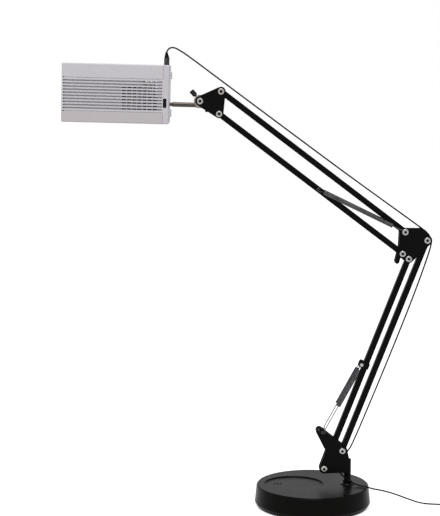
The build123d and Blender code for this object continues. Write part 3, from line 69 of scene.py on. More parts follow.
camera_data = bpy.data.cameras.new("camera")
camera_data.sensor_width = 36.0
camera_data.lens = LENS_MM
camera_data.clip_end = 20.0
camera = bpy.data.objects.new("camera", camera_data)
bpy.context.scene.collection.objects.link(camera)
camera.location = CAMERA_PLACE
camera.rotation_euler = (math.radians(90 - LOOKS_DOWN_DEG), 0, 0)
bpy.context.scene.camera = camera
bpy.context.scene.view_settings.view_transform = "Standard"
print("lens", round(camera_data.lens, 2), "mm")

# %% [markdown]
# ## The cord's line
#
# The real cord is a thin low-voltage lead. It leaves the plug on top of the projector, hangs nearly taut
# above the upper arm, tucks behind the elbow, follows the lower arm, passes through the foot's bracket,
# wraps in front of the post and runs off over the base's rim. One smooth NURBS spline with listed
# control points gives that line; the rest of the lead is a small coil beside its plug-in supply, outside
# the picture. The coil's turns are more control points of the same spline, worked out from its radius and
# pitch.

# %% Control points of the cord
CORD_ROUTE = [
    (-0.2512, 0, 0.7853),
    (-0.2493, 0, 0.7899),
    (-0.2453, 0, 0.7929),
    (-0.2393, 0, 0.7936),
    (-0.2311, 0, 0.7899),
    (-0.2143, 0, 0.7790),
    (-0.1600, 0, 0.7385),
    (-0.0600, 0, 0.6643),
    (0.0600, 0, 0.5756),
    (0.1865, 0, 0.4852),
    (0.1944, 0, 0.4784),
    (0.2002, 0, 0.4690),
    (0.2014, 0, 0.4575),
    (0.1732, 0, 0.3740),
    (0.1370, 0, 0.2790),
    (0.1005, 0, 0.1870),
    (0.0686, 0, 0.1086),
    (0.0608, 0, 0.0966),
    (0.0526, 0, 0.0868),
    (0.0476, -0.0006, 0.0756),
    (0.0462, -0.0022, 0.0656),
    (0.0482, -0.0036, 0.0586),
    (0.0520, -0.0068, 0.0548),
    (0.0572, -0.0098, 0.0516),
    (0.0630, -0.0119, 0.0476),
    (0.0692, -0.0138, 0.0442),
    (0.0756, -0.0166, 0.0416),
    (0.0826, -0.0218, 0.0408),
    (0.0888, -0.0272, 0.0409),
    (0.0950, -0.0310, 0.0404),
    (0.1018, -0.0302, 0.0379),
    (0.1104, -0.0268, 0.0356),
    (0.1192, -0.0232, 0.0329),
    (0.1282, -0.0196, 0.0298),
    (0.1372, -0.0160, 0.0263),
    (0.1462, -0.0124, 0.0224),
    (0.1554, -0.0090, 0.0181),
    (0.1646, -0.0058, 0.0139),
    (0.1738, -0.0028, 0.0099),
    (0.1828, -0.0004, 0.0061),
    (0.1918, 0.0016, 0.0035),
    (0.2010, 0.0028, 0.0020),
    (0.2104, 0.0030, 0.0014),
    (0.2200, 0.0018, 0.0014),
    (0.2294, -0.0020, 0.0014),
    (0.2380, -0.0074, 0.0017),
    (0.2464, -0.0120, 0.0022),
    (0.2538, -0.0140, 0.0023),
    (0.2614, -0.0140, 0.0023),
]
CORD_RADIUS = 0.0013
COIL_CENTRE = (0.264, 0.005)
COIL_OUTER = 0.019
COIL_STEP = 0.00306
COIL_TURNS = 3
COIL_LAYERS = 4
COIL_LIFT = 0.001
COIL_EXIT = 0.016
POINTS_PER_TURN = 16
# the cord changes layer over this share of a turn before and after each layer's end
LAYER_CHANGE = 0.25


def coil_point(turns):
    """A control point of the piled coil, which spirals in on one layer and out on the next."""
    layer = min(int(turns // COIL_TURNS), COIL_LAYERS - 1)
    inward = turns - layer * COIL_TURNS
    if layer % 2:
        inward = COIL_TURNS - inward
    # a quadratic spline cuts inside its control points, so they stand a little further out
    radius = (COIL_OUTER - COIL_STEP * inward) / math.cos(math.pi / POINTS_PER_TURN) ** 2
    height = COIL_LIFT + CORD_RADIUS + COIL_STEP * layer
    nearest = round(turns / COIL_TURNS)
    from_change = turns - nearest * COIL_TURNS
    if 0 < nearest < COIL_LAYERS and abs(from_change) < LAYER_CHANGE:
        share = from_change / (2 * LAYER_CHANGE) + 0.5
        risen = nearest - 1 + share * share * (3 - 2 * share)
        height = COIL_LIFT + CORD_RADIUS + COIL_STEP * risen
    angle = -math.pi / 2 + 2 * math.pi * turns
    return (COIL_CENTRE[0] + radius * math.cos(angle), COIL_CENTRE[1] + radius * math.sin(angle), height)


total_turns = COIL_TURNS * COIL_LAYERS + 0.25
coil_steps = round(total_turns * POINTS_PER_TURN)
coil_points = [coil_point(total_turns * i / coil_steps) for i in range(1, coil_steps + 1)]
last = coil_points[-1]
cord_points = CORD_ROUTE + coil_points + [(last[0], COIL_CENTRE[1] + COIL_EXIT, last[2])]
print(len(cord_points), "control points")


# %% The smooth line through them
def spline_points(points, name, resolution=36):
    """Points along a quadratic NURBS spline, as Blender draws it without a bevel."""
    curve = bpy.data.curves.new(name, "CURVE")
    curve.dimensions = "3D"
    curve.resolution_u = resolution
    spline = curve.splines.new("NURBS")
    spline.points.add(len(points) - 1)
    for control, place in zip(spline.points, points):
        control.co = (*place, 1)
    spline.order_u = 3
    spline.use_endpoint_u = True
    holder = bpy.data.objects.new(name, curve)
    bpy.context.scene.collection.objects.link(holder)
    shaped = bpy.data.meshes.new_from_object(holder)
    line = np.array([v.co for v in shaped.vertices], float)
    bpy.data.objects.remove(holder)
    bpy.data.meshes.remove(shaped)
    return line


cord_line = spline_points(cord_points, "cord_line")
steps = np.linalg.norm(np.diff(cord_line, axis=0), axis=1)
cord_line = cord_line[np.concatenate([[True], steps > 1e-6])]
cord_length = float(np.linalg.norm(np.diff(cord_line, axis=0), axis=1).sum())
print("cord", round(cord_length, 3), "m in", len(cord_line), "points")


# %% [markdown]
# ## Picking the rings
#
# A joint bends the cord smoothly only where its mesh has rings to bend, so the spline is read at a high
# resolution. That crowds its points in the coil's short steps, so of the points that were read only those
# are kept that stand at least 1.4 mm apart.


# %% Rings at an even spacing
RING_GAP = 0.0014


def picked(line, gap):
    """The points of a line that are at least a gap apart, with its first and last."""
    kept = [0]
    for i in range(1, len(line) - 1):
        if np.linalg.norm(line[i] - line[kept[-1]]) >= gap:
            kept.append(i)
    return line[kept + [len(line) - 1]]


cord_line = picked(cord_line, RING_GAP)
print(len(cord_line), "rings")


# %% [markdown]
# ## A tube along a line
#
# Both the cord and the springs are round wire along a line. The section is carried along the line without
# twisting, by turning it only as much as the line itself turns. Writing the rings by hand, in place of a
# curve's bevel, lets the cord be cut into lengths whose end rings match exactly.

# %% Rings, and a mesh made from them
def rings_along(line, radius, sides):
    """Points of a round section at each point of a line, turned as little as possible on the way."""
    tangent = np.gradient(line, axis=0)
    tangent /= np.linalg.norm(tangent, axis=1)[:, None]
    aside = np.cross(tangent[0], (0.0, 1.0, 0.0))
    if np.linalg.norm(aside) < 0.1:
        aside = np.cross(tangent[0], (1.0, 0.0, 0.0))
    rings = []
    turns = np.arange(sides) * 2 * math.pi / sides
    for place, along in zip(line, tangent):
        aside = aside - along * np.dot(aside, along)
        aside /= np.linalg.norm(aside)
        other = np.cross(along, aside)
        section = np.cos(turns)[:, None] * aside + np.sin(turns)[:, None] * other
        rings.append(place + radius * section)
    return np.array(rings)


def mesh_of_rings(name, rings):
    """A closed tube through rings of points, with a flat cap at each end."""
    count, sides, _ = rings.shape
    faces = []
    for i in range(count - 1):
        for j in range(sides):
            k = (j + 1) % sides
            ring, next_ring = i * sides, (i + 1) * sides
            faces.append((ring + j, ring + k, next_ring + k, next_ring + j))
    faces.append(tuple(reversed(range(sides))))
    faces.append(tuple((count - 1) * sides + j for j in range(sides)))
    mesh = bpy.data.meshes.new(name)
    mesh.from_pydata(rings.reshape(-1, 3).tolist(), [], faces)
    mesh.polygons.foreach_set("use_smooth", [len(f) == 4 for f in faces])
    made = bpy.data.objects.new(name, mesh)
    bpy.context.scene.collection.objects.link(made)
    return made


# %% [markdown]
# ## The cord in eight lengths
#
# The real cord is one piece that bends wherever the stand has a joint. A mesh can bend between two bodies
# only, so the cord is cut between its joints. Here it is cut between its joints into lengths that share
# their end rings, so the cuts never open. A ring keeps its tilt while it moves aside, so a bend is put
# where the cord already points the way that the joint pulls it: over the plug, where the projector turns,
# it has only the cord's first upright centimetre, and where the head tilts it is spread over eight
# centimetres, so that the cord makes a loop and doesn't fold flat. Only the last length, on the table, is
# hung on a body, the root; the others are baked in place.

# %% Cut the cord, and hang the last length on the root
CORD_SIDES = 12
cord_rings = rings_along(cord_line, CORD_RADIUS, CORD_SIDES)


def ring_near(place, first=0):
    """Number of the ring that is nearest to a place, from a given one on."""
    return first + int(np.argmin(np.linalg.norm(cord_line[first:] - np.array(place), axis=1)))


# name, body, next body, start and end of the bend, and the place of the cut
CORD_LENGTHS = [
    (
        "cord_at_plug",
        "projector",
        "knuckle",
        (-0.2512, 0, 0.7853),
        (-0.2430, 0, 0.7933),
        (-0.2252, 0, 0.7862),
    ),
    (
        "cord_at_tilt",
        "knuckle",
        "head_bracket",
        (-0.2242, 0, 0.7856),
        (-0.1600, 0, 0.7385),
        (-0.1595, 0, 0.7381),
    ),
    (
        "cord_at_head",
        "head_bracket",
        "upper_top_link",
        (-0.1590, 0, 0.7378),
        (-0.1270, 0, 0.7141),
        (0, 0, 0.6200),
    ),
    (
        "cord_at_elbow",
        "upper_top_link",
        "elbow",
        (0.1450, 0, 0.5149),
        (0.1850, 0, 0.4865),
        (0.1975, 0, 0.4740),
    ),
    (
        "cord_at_arm",
        "elbow",
        "lower_rear_link",
        (0.1990, 0, 0.4720),
        (0.2008, 0, 0.4520),
        (0.1300, 0, 0.2620),
    ),
    (
        "cord_at_foot",
        "lower_rear_link",
        "swivel",
        (0.0675, 0, 0.1070),
        (0.0530, 0, 0.0870),
        (0.0467, -0.0015, 0.0700),
    ),
    (
        "cord_at_post",
        "swivel",
        "root",
        (0.0466, -0.0020, 0.0660),
        (0.0826, -0.0218, 0.0408),
        (0.0888, -0.0272, 0.0409),
    ),
    (
        "cord_on_table",
        "root",
        None,
        None,
        None,
        tuple(cord_line[-1]),
    ),
]
cord_pieces = []
first = 0
for name, body, next_body, bend_start, bend_end, cut in CORD_LENGTHS:
    end = ring_near(cut, first) if next_body else len(cord_line) - 1
    piece = mesh_of_rings(name, cord_rings[first : end + 1])
    if next_body:
        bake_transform(piece)
    else:
        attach(piece, body)
    line = cord_line[first : end + 1]
    length = float(np.linalg.norm(np.diff(line, axis=0), axis=1).sum())
    print(name, round(length, 3), "m")
    cord_pieces.append(piece)
    first = end
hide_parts("cord_upper")
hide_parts("cord_lower")
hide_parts("cord_floor", "cord_coil")


# %% [markdown]
# ## One way to add a node
#
# Every material and every Geometry Nodes tree below is written with the same small function. It adds a
# node, sets its properties, and then sets each named input to a value or links it to another node's
# output.

# %% Node helper and colours
def node(tree, kind, inputs=(), **settings):
    """Add a node, set its properties, and set or link inputs given as (name or number, value or socket)."""
    made = tree.nodes.new(kind)
    for key, value in settings.items():
        setattr(made, key, value)
    for key, value in inputs:
        if isinstance(value, bpy.types.NodeSocket):
            tree.links.new(value, made.inputs[key])
        else:
            made.inputs[key].default_value = value
    return made


def linear(code, alpha=1.0):
    """An sRGB hex colour as the linear numbers that shaders take."""
    parts = [int(code[i : i + 2], 16) / 255 for i in (1, 3, 5)]
    return (*[p / 12.92 if p <= 0.04045 else ((p + 0.055) / 1.055) ** 2.4 for p in parts], alpha)


def grain(size_mm):
    """Noise scale at which one blotch is about this many millimetres wide."""
    return 1000.0 / size_mm


# %% [markdown]
# ## Materials from the real finishes
#
# Each surface is named for what it is made of and how it was finished. `finish` starts every one of them
# with the colour, a second colour that it varies to in broad soft patches, the roughness, how metallic it
# is, and a fine bump whose grain is given in millimetres. What a finish needs beyond that is set on its
# shader afterwards.

# %% A finish
GRAIN_DEPTH = 0.0002


def finish(
    name,
    colour,
    second,
    roughness,
    metallic=0.0,
    ior=None,
    patch_mm=40,
    bump_mm=1.0,
    bump=0.05,
    vary=0.06,
):
    """A material with broad colour patches, slightly uneven gloss and a fine surface grain."""
    material = bpy.data.materials.new(name)
    material.use_nodes = True
    tree = material.node_tree
    shader = tree.nodes["Principled BSDF"]
    place = node(tree, "ShaderNodeTexCoord")
    patches = node(
        tree,
        "ShaderNodeTexNoise",
        [("Vector", place.outputs["Object"]), ("Scale", grain(patch_mm)), ("Detail", 3.0)],
    )
    tint = node(
        tree,
        "ShaderNodeMix",
        [(0, patches.outputs["Fac"]), (6, linear(colour)), (7, linear(second))],
        data_type="RGBA",
    )
    gloss = node(
        tree,
        "ShaderNodeMapRange",
        [(0, patches.outputs["Fac"]), (3, roughness - vary), (4, roughness + vary)],
    )
    fine = node(
        tree,
        "ShaderNodeTexNoise",
        [("Vector", place.outputs["Object"]), ("Scale", grain(bump_mm)), ("Detail", 2.0)],
    )
    relief = node(
        tree,
        "ShaderNodeBump",
        [("Height", fine.outputs["Fac"]), ("Strength", bump), ("Distance", GRAIN_DEPTH)],
    )
    tree.links.new(tint.outputs[2], shader.inputs["Base Color"])
    tree.links.new(gloss.outputs[0], shader.inputs["Roughness"])
    tree.links.new(relief.outputs["Normal"], shader.inputs["Normal"])
    shader.inputs["Metallic"].default_value = metallic
    if ior is not None:
        shader.inputs["IOR"].default_value = ior
    return material


# %% [markdown]
# ### Black paint and bare metal
#
# Arms, brackets and base are steel under baked powder coat: deep black, satin, with the faint orange peel
# of paint that flowed together in the oven. Its dimples are about 1.5 mm wide, just coarse enough to
# soften the highlights without drawing a pattern. The rod is turned steel, darker than chrome, so that it
# stands out from a white room while the lamp still draws a bright line along its top.

# %% Painted and plated metals
# baked powder coat: deep satin black with faint orange peel
arm_paint = finish("powder_coat_arms", "#050505", "#080808", 0.38, ior=1.14, bump_mm=1.5, bump=0.10)
# the same coat on the base, a shade lighter as painted light from the lamp above, and smoother, so the lamp
# draws its rim
lit_base_paint = finish(
    "powder_coat_base_lit", "#0b0b0a", "#100f0e", 0.30, ior=1.11, patch_mm=60, bump_mm=1.5, bump=0.06
)
# bright zinc with light and dark blotches from handling, about 6 mm wide
plated_bolt = finish("zinc_plated_bolts", "#b1afad", "#8b8988", 0.26, 1.0, patch_mm=6, bump_mm=0.8)
# punched and plated discs, of which only a duller edge shows
washer_steel = finish("zinc_plated_washers", "#7d7b79", "#5f5e5d", 0.35, 1.0, patch_mm=6)
# turned steel: lathe marks too fine to show, so a nearly smooth and dark mirror
rod_steel = finish(
    "turned_steel_rod", "#514b47", "#3d3835", 0.26, 1.0, patch_mm=30, bump_mm=6, bump=0.02, vary=0.03
)
# polished chrome: sharper and lighter than the rod beside it
chrome = finish(
    "chrome_plate", "#9a9897", "#7f7d7c", 0.14, 1.0, patch_mm=30, bump_mm=6, bump=0.02, vary=0.03
)
# hard-drawn spring wire under oil: dark grey, lit only along the top of each turn
dark_wire = finish("oiled_spring_steel", "#58585a", "#38383a", 0.34, 1.0, patch_mm=26, vary=0.04)
# the same wire in a lighter grey, varying between light and dark grey over about 26 mm of spring
light_wire = finish("bright_spring_steel", "#737375", "#343436", 0.30, 1.0, patch_mm=26, vary=0.04)
# galvanised wire: plain dull grey
hook_wire = finish("galvanised_hook_wire", "#59595b", "#434345", 0.34, 1.0, patch_mm=9, vary=0.04)
# sand-cast iron: coarse and dull, with a grain of about 1 mm
raw_iron = finish("cast_iron", "#3a3836", "#2c2a29", 0.75, 0.6, patch_mm=12, bump_mm=1.2, bump=0.5)
# plated brass: a warm pale metal
nickel = finish("nickel_plated_brass", "#c8c2b4", "#b3ac9d", 0.22, 1.0, patch_mm=10)
# extruded aluminium: light and satin
sink_metal = finish("extruded_aluminium", "#b9babc", "#a8a9ac", 0.38, 1.0, patch_mm=10)
# blackened steel: dark, with a soft metal sheen
blued_screw = finish("blackened_screws", "#2a2a2c", "#1d1d1f", 0.38, 0.8, patch_mm=6)
print("metals made")

# %% [markdown]
# ### Dark recesses
#
# A socket-head bolt looks like a bright ring round a black hole, because little light gets into the
# socket, and the case's narrow grooves show as dark lines of shade in the same way. That shade is painted
# here: Ambient Occlusion finds such recesses on the piece itself, and the colour goes towards a painted
# shade colour there.

# %% Recess function
def paint_recess_shade(material, shade_colour, reach_mm, shut, open_):
    """Mix a finish towards a painted shade colour where the surface sees too little of its surroundings."""
    tree = material.node_tree
    shader = tree.nodes["Principled BSDF"]
    unshaded_colour = shader.inputs["Base Color"].links[0].from_socket
    openness = node(
        tree,
        "ShaderNodeAmbientOcclusion",
        [("Distance", reach_mm / 1000)],
        samples=8,
        only_local=True,
    )
    share = node(tree, "ShaderNodeMapRange", [(0, openness.outputs["AO"]), (1, shut), (2, open_)])
    mixed = node(
        tree,
        "ShaderNodeMix",
        [(0, share.outputs[0]), (6, linear(shade_colour)), (7, unshaded_colour)],
        data_type="RGBA",
    )
    tree.links.new(mixed.outputs[2], shader.inputs["Base Color"])


# painted shade: the bolts' hexagon sockets go nearly black
paint_recess_shade(plated_bolt, shade_colour="#050505", reach_mm=4, shut=0.62, open_=0.88)
print("sockets darkened")

# %% [markdown]
# ### Plastics and rubber
#
# The case is white ABS, moulded against a fine spark-eroded texture, so it is bright but not shiny. Its
# grain is about 0.3 mm, too fine to show, and is drawn coarser and very faint. The black fittings are the
# same plastic in black, the plug has a polished mould and mirrors the studio along its sides, and the
# cord is soft PVC with a dull sheen.

# %% Plastics, rubber, glass
# ABS from a spark-eroded mould: matt and even, very slightly blue
case_white = finish(
    "moulded_white_abs", "#cfcdd2", "#c9c6cc", 0.40, ior=1.45, patch_mm=90, bump_mm=2.5, bump=0.02
)
# the same ABS on the cover that looks down at the work, a little darker as painted shade and warmer as a
# painted reflection
shaded_cover_white = finish(
    "moulded_white_abs_shaded_cover", "#c8c1c4", "#c1bbbe", 0.40, ior=1.45, patch_mm=90, bump_mm=2.5, bump=0.02
)
# the button comes from a smoother mould, so it is a little glossier
button_white = finish("moulded_white_button", "#d2d0d4", "#cac8cd", 0.34, ior=1.5, patch_mm=20)
# textured black ABS: soft highlights without an edge
black_abs = finish(
    "moulded_black_abs", "#0b0b0c", "#111112", 0.42, ior=1.3, patch_mm=20, bump_mm=0.9, bump=0.1
)
# a polished mould: dark, with sharp reflections along its sides
plug_black = finish("polished_black_plug", "#0a0a0b", "#0f0f10", 0.14, ior=1.5, patch_mm=20, vary=0.03)
# soft PVC: nearly black, with a dull sheen
cord_pvc = finish(
    "soft_pvc_cord", "#050505", "#080808", 0.46, ior=1.16, patch_mm=30, bump_mm=1.2, bump=0.08
)
# moulded rubber: dull all over
black_rubber = finish(
    "black_rubber", "#111111", "#161616", 0.72, ior=1.4, patch_mm=15, bump_mm=0.8, bump=0.2
)
# pale silicone: milky, with a soft shine
clear_feet = finish("pale_silicone_feet", "#e4e4e6", "#dadadd", 0.45, ior=1.41, patch_mm=8)
# solder mask over a fibreglass board: smooth dark green
board_green = finish("solder_mask_board", "#14401f", "#0f3519", 0.35, ior=1.5, patch_mm=6)
# glass-filled PBT: plain dull black
fan_black = finish("fan_black_pbt", "#0d0d0e", "#141415", 0.5, ior=1.4, patch_mm=12)
# ground and coated glass: dark violet to blue, and very smooth
lens_glass = finish(
    "coated_lens_glass", "#1b1530", "#10182c", 0.05, ior=1.6, patch_mm=25, bump=0.0, vary=0.01
)
lens_glass.node_tree.nodes["Principled BSDF"].inputs["Coat Weight"].default_value = 1.0
print("plastics made")

# %% [markdown]
# ### Painted shade inside the case
#
# The inside of the case is given a dark colour as painted shade, so its vents look black. The colour is
# laid on by place: Object coordinates are turned back by the box's lean, measured from the box's middle,
# and everything deeper than the wall is dark.

# %% Dark inside
CASE_PIVOT = (-0.19499, 0, 0.70360)
CASE_LEAN = math.radians(1.45)
CASE_MIDDLE = (-0.14125, 0, 0.00975)
CASE_INSIDE = (0.08735, 0.0406, 0.04675)


def paint_shade_inside(material, dark):
    """Give the part of a finish that lies deeper than the case's wall a dark colour, as painted shade."""
    tree = material.node_tree
    shader = tree.nodes["Principled BSDF"]
    outside_colour = shader.inputs["Base Color"].links[0].from_socket
    place = node(tree, "ShaderNodeTexCoord")
    offset = node(
        tree,
        "ShaderNodeVectorMath",
        [(0, place.outputs["Object"]), (1, CASE_PIVOT)],
        operation="SUBTRACT",
    )
    upright = node(
        tree,
        "ShaderNodeVectorRotate",
        [("Vector", offset.outputs[0]), ("Angle", -CASE_LEAN)],
        rotation_type="Y_AXIS",
    )
    centred = node(
        tree,
        "ShaderNodeVectorMath",
        [(0, upright.outputs[0]), (1, CASE_MIDDLE)],
        operation="SUBTRACT",
    )
    size = node(tree, "ShaderNodeVectorMath", [(0, centred.outputs[0])], operation="ABSOLUTE")
    depth = node(
        tree,
        "ShaderNodeVectorMath",
        [(0, size.outputs[0]), (1, CASE_INSIDE)],
        operation="SUBTRACT",
    )
    axes = node(tree, "ShaderNodeSeparateXYZ", [(0, depth.outputs[0])])
    farthest = node(
        tree,
        "ShaderNodeMath",
        [(0, axes.outputs[0]), (1, axes.outputs[1])],
        operation="MAXIMUM",
    )
    farthest = node(
        tree,
        "ShaderNodeMath",
        [(0, farthest.outputs[0]), (1, axes.outputs[2])],
        operation="MAXIMUM",
    )
    outside = node(tree, "ShaderNodeMath", [(0, farthest.outputs[0]), (1, 0.0)], operation="GREATER_THAN")
    painted = node(
        tree,
        "ShaderNodeMix",
        [(0, outside.outputs[0]), (6, linear(dark)), (7, outside_colour)],
        data_type="RGBA",
    )
    tree.links.new(painted.outputs[2], shader.inputs["Base Color"])


# painted shade: the case's grooves, seams and end holes go grey
for material in (case_white, shaded_cover_white):
    paint_recess_shade(material, shade_colour="#8b888f", reach_mm=3, shut=0.45, open_=0.95)
    # painted shade: everything deeper than the case's wall is dark
    paint_shade_inside(material, "#080808")
print("case painted inside")

# %% Give each CAD node its finish
FINISHES = {
    lit_base_paint: ["base_shell"],
    arm_paint: [
        "post",
        "base_plate_near",
        "base_plate_far",
        "elbow_plate_near",
        "elbow_plate_far",
        "head_plate_near",
        "head_plate_far",
        "lower_rear_link",
        "lower_front_link",
        "upper_top_link",
        "upper_bottom_link",
        "lower_spring_clip",
    ],
    raw_iron: ["base_weight"],
    plated_bolt: [
        "base_pivot_bolts",
        "elbow_pivot_bolts",
        "head_pivot_bolts",
        "lower_spring_pin",
    ],
    washer_steel: ["base_pivot_washers", "elbow_pivot_washers", "head_pivot_washers"],
    chrome: ["tilt_knuckle"],
    rod_steel: ["projector_rod"],
    hook_wire: ["lower_spring_wires", "upper_spring_wires"],
    nickel: ["tripod_bush", "adapter_blades"],
    sink_metal: ["heat_sink"],
    blued_screw: ["case_screws", "base_screws", "lower_spring_studs", "upper_spring_pin"],
    case_white: ["centre_frame", "rear_cover"],
    shaded_cover_white: ["front_cover"],
    button_white: ["power_button"],
    black_abs: [
        "tilt_lock_screw",
        "base_socket_bush",
        "lens_barrel",
        "focus_ring",
        "light_engine",
        "hdmi_socket",
        "dc_jack",
        "adapter_body",
        "adapter_strain_relief",
        "coil_tie",
    ],
    plug_black: ["dc_plug"],
    cord_pvc: ["dc_plug_boot"],
    black_rubber: ["base_foot_pad"],
    clear_feet: ["rubber_feet"],
    board_green: ["main_board"],
    fan_black: ["fan_frame", "fan_rotor"],
    lens_glass: ["lens_glass"],
}
for material, names in FINISHES.items():
    for name in names:
        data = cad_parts[name].data
        data.materials.clear()
        data.materials.append(material)
for piece in cord_pieces:
    piece.data.materials.append(cord_pvc)
print(sum(len(names) for names in FINISHES.values()), "nodes have their finish")

# %% [markdown]
# ## Close-wound springs
#
# The balance springs are extension springs: dozens of turns of wire that touch when slack, with the last
# turn bent out into an eye. CAD keeps them coarse. Here the line is an eye round the pin followed by a
# helix, and a Geometry Nodes tree sweeps the wire along it, so the wire's thickness and roundness are
# inputs of the tree.

# %% A tree that turns a line into wire
WIRE_INPUTS = {
    "Line": "NodeSocketGeometry",
    "Wire radius": "NodeSocketFloat",
    "Sides": "NodeSocketInt",
    "Finish": "NodeSocketMaterial",
}
wire_tree = bpy.data.node_groups.new("wire_along_line", "GeometryNodeTree")
for label, kind in WIRE_INPUTS.items():
    wire_tree.interface.new_socket(label, in_out="INPUT", socket_type=kind)
wire_tree.interface.new_socket("Wire", in_out="OUTPUT", socket_type="NodeSocketGeometry")
given = node(wire_tree, "NodeGroupInput")
section = node(
    wire_tree,
    "GeometryNodeCurvePrimitiveCircle",
    [("Resolution", given.outputs["Sides"]), ("Radius", given.outputs["Wire radius"])],
)
as_curve = node(wire_tree, "GeometryNodeMeshToCurve", [("Mesh", given.outputs["Line"])])
swept = node(
    wire_tree,
    "GeometryNodeCurveToMesh",
    [("Curve", as_curve.outputs[0]), ("Profile Curve", section.outputs[0]), ("Fill Caps", True)],
)
smooth = node(wire_tree, "GeometryNodeSetShadeSmooth", [("Geometry", swept.outputs[0])])
real = node(wire_tree, "GeometryNodeRealizeInstances", [("Geometry", smooth.outputs[0])])
dressed = node(
    wire_tree,
    "GeometryNodeSetMaterial",
    [("Geometry", real.outputs[0]), ("Material", given.outputs["Finish"])],
)
node(wire_tree, "NodeGroupOutput", [("Wire", dressed.outputs[0])])
print(len(wire_tree.nodes), "nodes in the tree")


# %% Run the tree on a line of points
def input_identifiers(tree):
    """The identifier of each named input of a Geometry Nodes tree, by which a modifier sets it."""
    inputs = [item for item in tree.interface.items_tree if item.in_out == "INPUT"]
    return {item.name: item.identifier for item in inputs}


def wire_along(name, line, radius, sides, material):
    """Wire of a given radius along a line of points, made by the tree and baked to a plain mesh."""
    mesh = bpy.data.meshes.new(name + "_line")
    mesh.from_pydata([tuple(p) for p in line], [(i, i + 1) for i in range(len(line) - 1)], [])
    holder = bpy.data.objects.new(name + "_line", mesh)
    bpy.context.scene.collection.objects.link(holder)
    modifier = holder.modifiers.new("wire", "NODES")
    modifier.node_group = wire_tree
    sockets = input_identifiers(wire_tree)
    modifier[sockets["Wire radius"]] = radius
    modifier[sockets["Sides"]] = sides
    modifier[sockets["Finish"]] = material
    graph = bpy.context.evaluated_depsgraph_get()
    baked = bpy.data.meshes.new_from_object(holder.evaluated_get(graph), depsgraph=graph)
    bpy.data.objects.remove(holder)
    bpy.data.meshes.remove(mesh)
    baked.name = name
    made = bpy.data.objects.new(name, baked)
    bpy.context.scene.collection.objects.link(made)
    return made


# %% [markdown]
# ### The spring's line
#
# Along its own axis the line starts in the eye round the pin, rises to the helix radius, and then turns
# at an even pitch. Two neighbours are laid out with the same function, one on each side of the arm, and
# the direction of each pair is taken from the pins that they join.

# %% Eye and helix
SPRING_RADIUS = 0.0033
SPRING_WIRE = 0.0005
PIN_RADIUS = 0.002
PIN_CLEARANCE = 0.0003
SPRING_SIDE = 0.0126
WIRE_SIDES = 8
EYE_START_DEG = 60
EYE_SWEEP_DEG = 240
EYE_STEPS = 12
LEAD_RADII = 3.2
LEAD_STEPS = 6


def spring_line(length, turns, points_per_turn=12):
    """Points of a hooked spring along +X, with its eye round the origin."""
    eye = PIN_RADIUS + SPRING_WIRE + PIN_CLEARANCE
    points = []
    for i in range(EYE_STEPS + 1):
        turn = math.radians(EYE_START_DEG + EYE_SWEEP_DEG * i / EYE_STEPS)
        points.append((eye * math.cos(turn), eye * math.sin(turn), 0.0))
    lead = LEAD_RADII * SPRING_RADIUS
    start = points[-1]
    target = (lead, 0.0, -SPRING_RADIUS)
    for i in range(1, LEAD_STEPS):
        share = i / LEAD_STEPS
        ease = share * share * (3 - 2 * share)
        weights = (share, ease, ease)
        points.append(tuple(a + (b - a) * w for a, b, w in zip(start, target, weights)))
    pitch = (length - lead) / turns
    for i in range(turns * points_per_turn + 1):
        turn = 2 * math.pi * i / points_per_turn - math.pi / 2
        along = lead + pitch * i / points_per_turn
        points.append((along, SPRING_RADIUS * math.cos(turn), SPRING_RADIUS * math.sin(turn)))
    return points


def placed(points, start, end, side):
    """Points from a spring's own axis moved to the row frame, from one pin towards another."""
    along = Vector((end[0] - start[0], 0, end[1] - start[1])).normalized()
    across = Vector((0, -1, 0))
    other = across.cross(along)
    origin = Vector((start[0], side, start[1]))
    return [origin + along * p[0] + other * p[1] + across * p[2] for p in points]


print(len(spring_line(length=0.08, turns=52)), "points in a line of 52 turns")

# %% Four springs
LOWER_PIN = (0.0826076, 0.2518180)
LOWER_STUD = (0.0176, 0.1326)
UPPER_PIN = (0.0060703, 0.5538207)
UPPER_BOLT = (0.1543387, 0.4815837)
# name, both pins, length, turns, wire, body that it rides on, CAD node that it replaces, and slot
SPRINGS = [
    (
        "lower_spring",
        LOWER_PIN,
        LOWER_STUD,
        0.0828,
        64,
        dark_wire,
        "lower_spring_coils",
        "lower_springs",
        "dark_spring",
    ),
    (
        "upper_spring",
        UPPER_PIN,
        UPPER_BOLT,
        0.1409,
        112,
        light_wire,
        "upper_spring_coils",
        "upper_springs",
        "grey_spring",
    ),
]
for name, start, end, length, turns, material, body, cad_node, slot in SPRINGS:
    for label, side in (("near", -SPRING_SIDE), ("far", SPRING_SIDE)):
        line = placed(spring_line(length, turns), start, end, side)
        spring = wire_along(f"{name}_{label}", line, SPRING_WIRE, WIRE_SIDES, material)
        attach(spring, body)
        if label == "near":
            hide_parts(cad_node)
        print(spring.name, len(spring.data.polygons), "faces")

# %% [markdown]
# ## Three small marks in the dish
#
# The dish carries a small mark near its left edge, which a maker would use for a name. It stays generic
# here: three low raised dots in a row. Geometry Nodes set a little domed disc on each point of a short
# line.

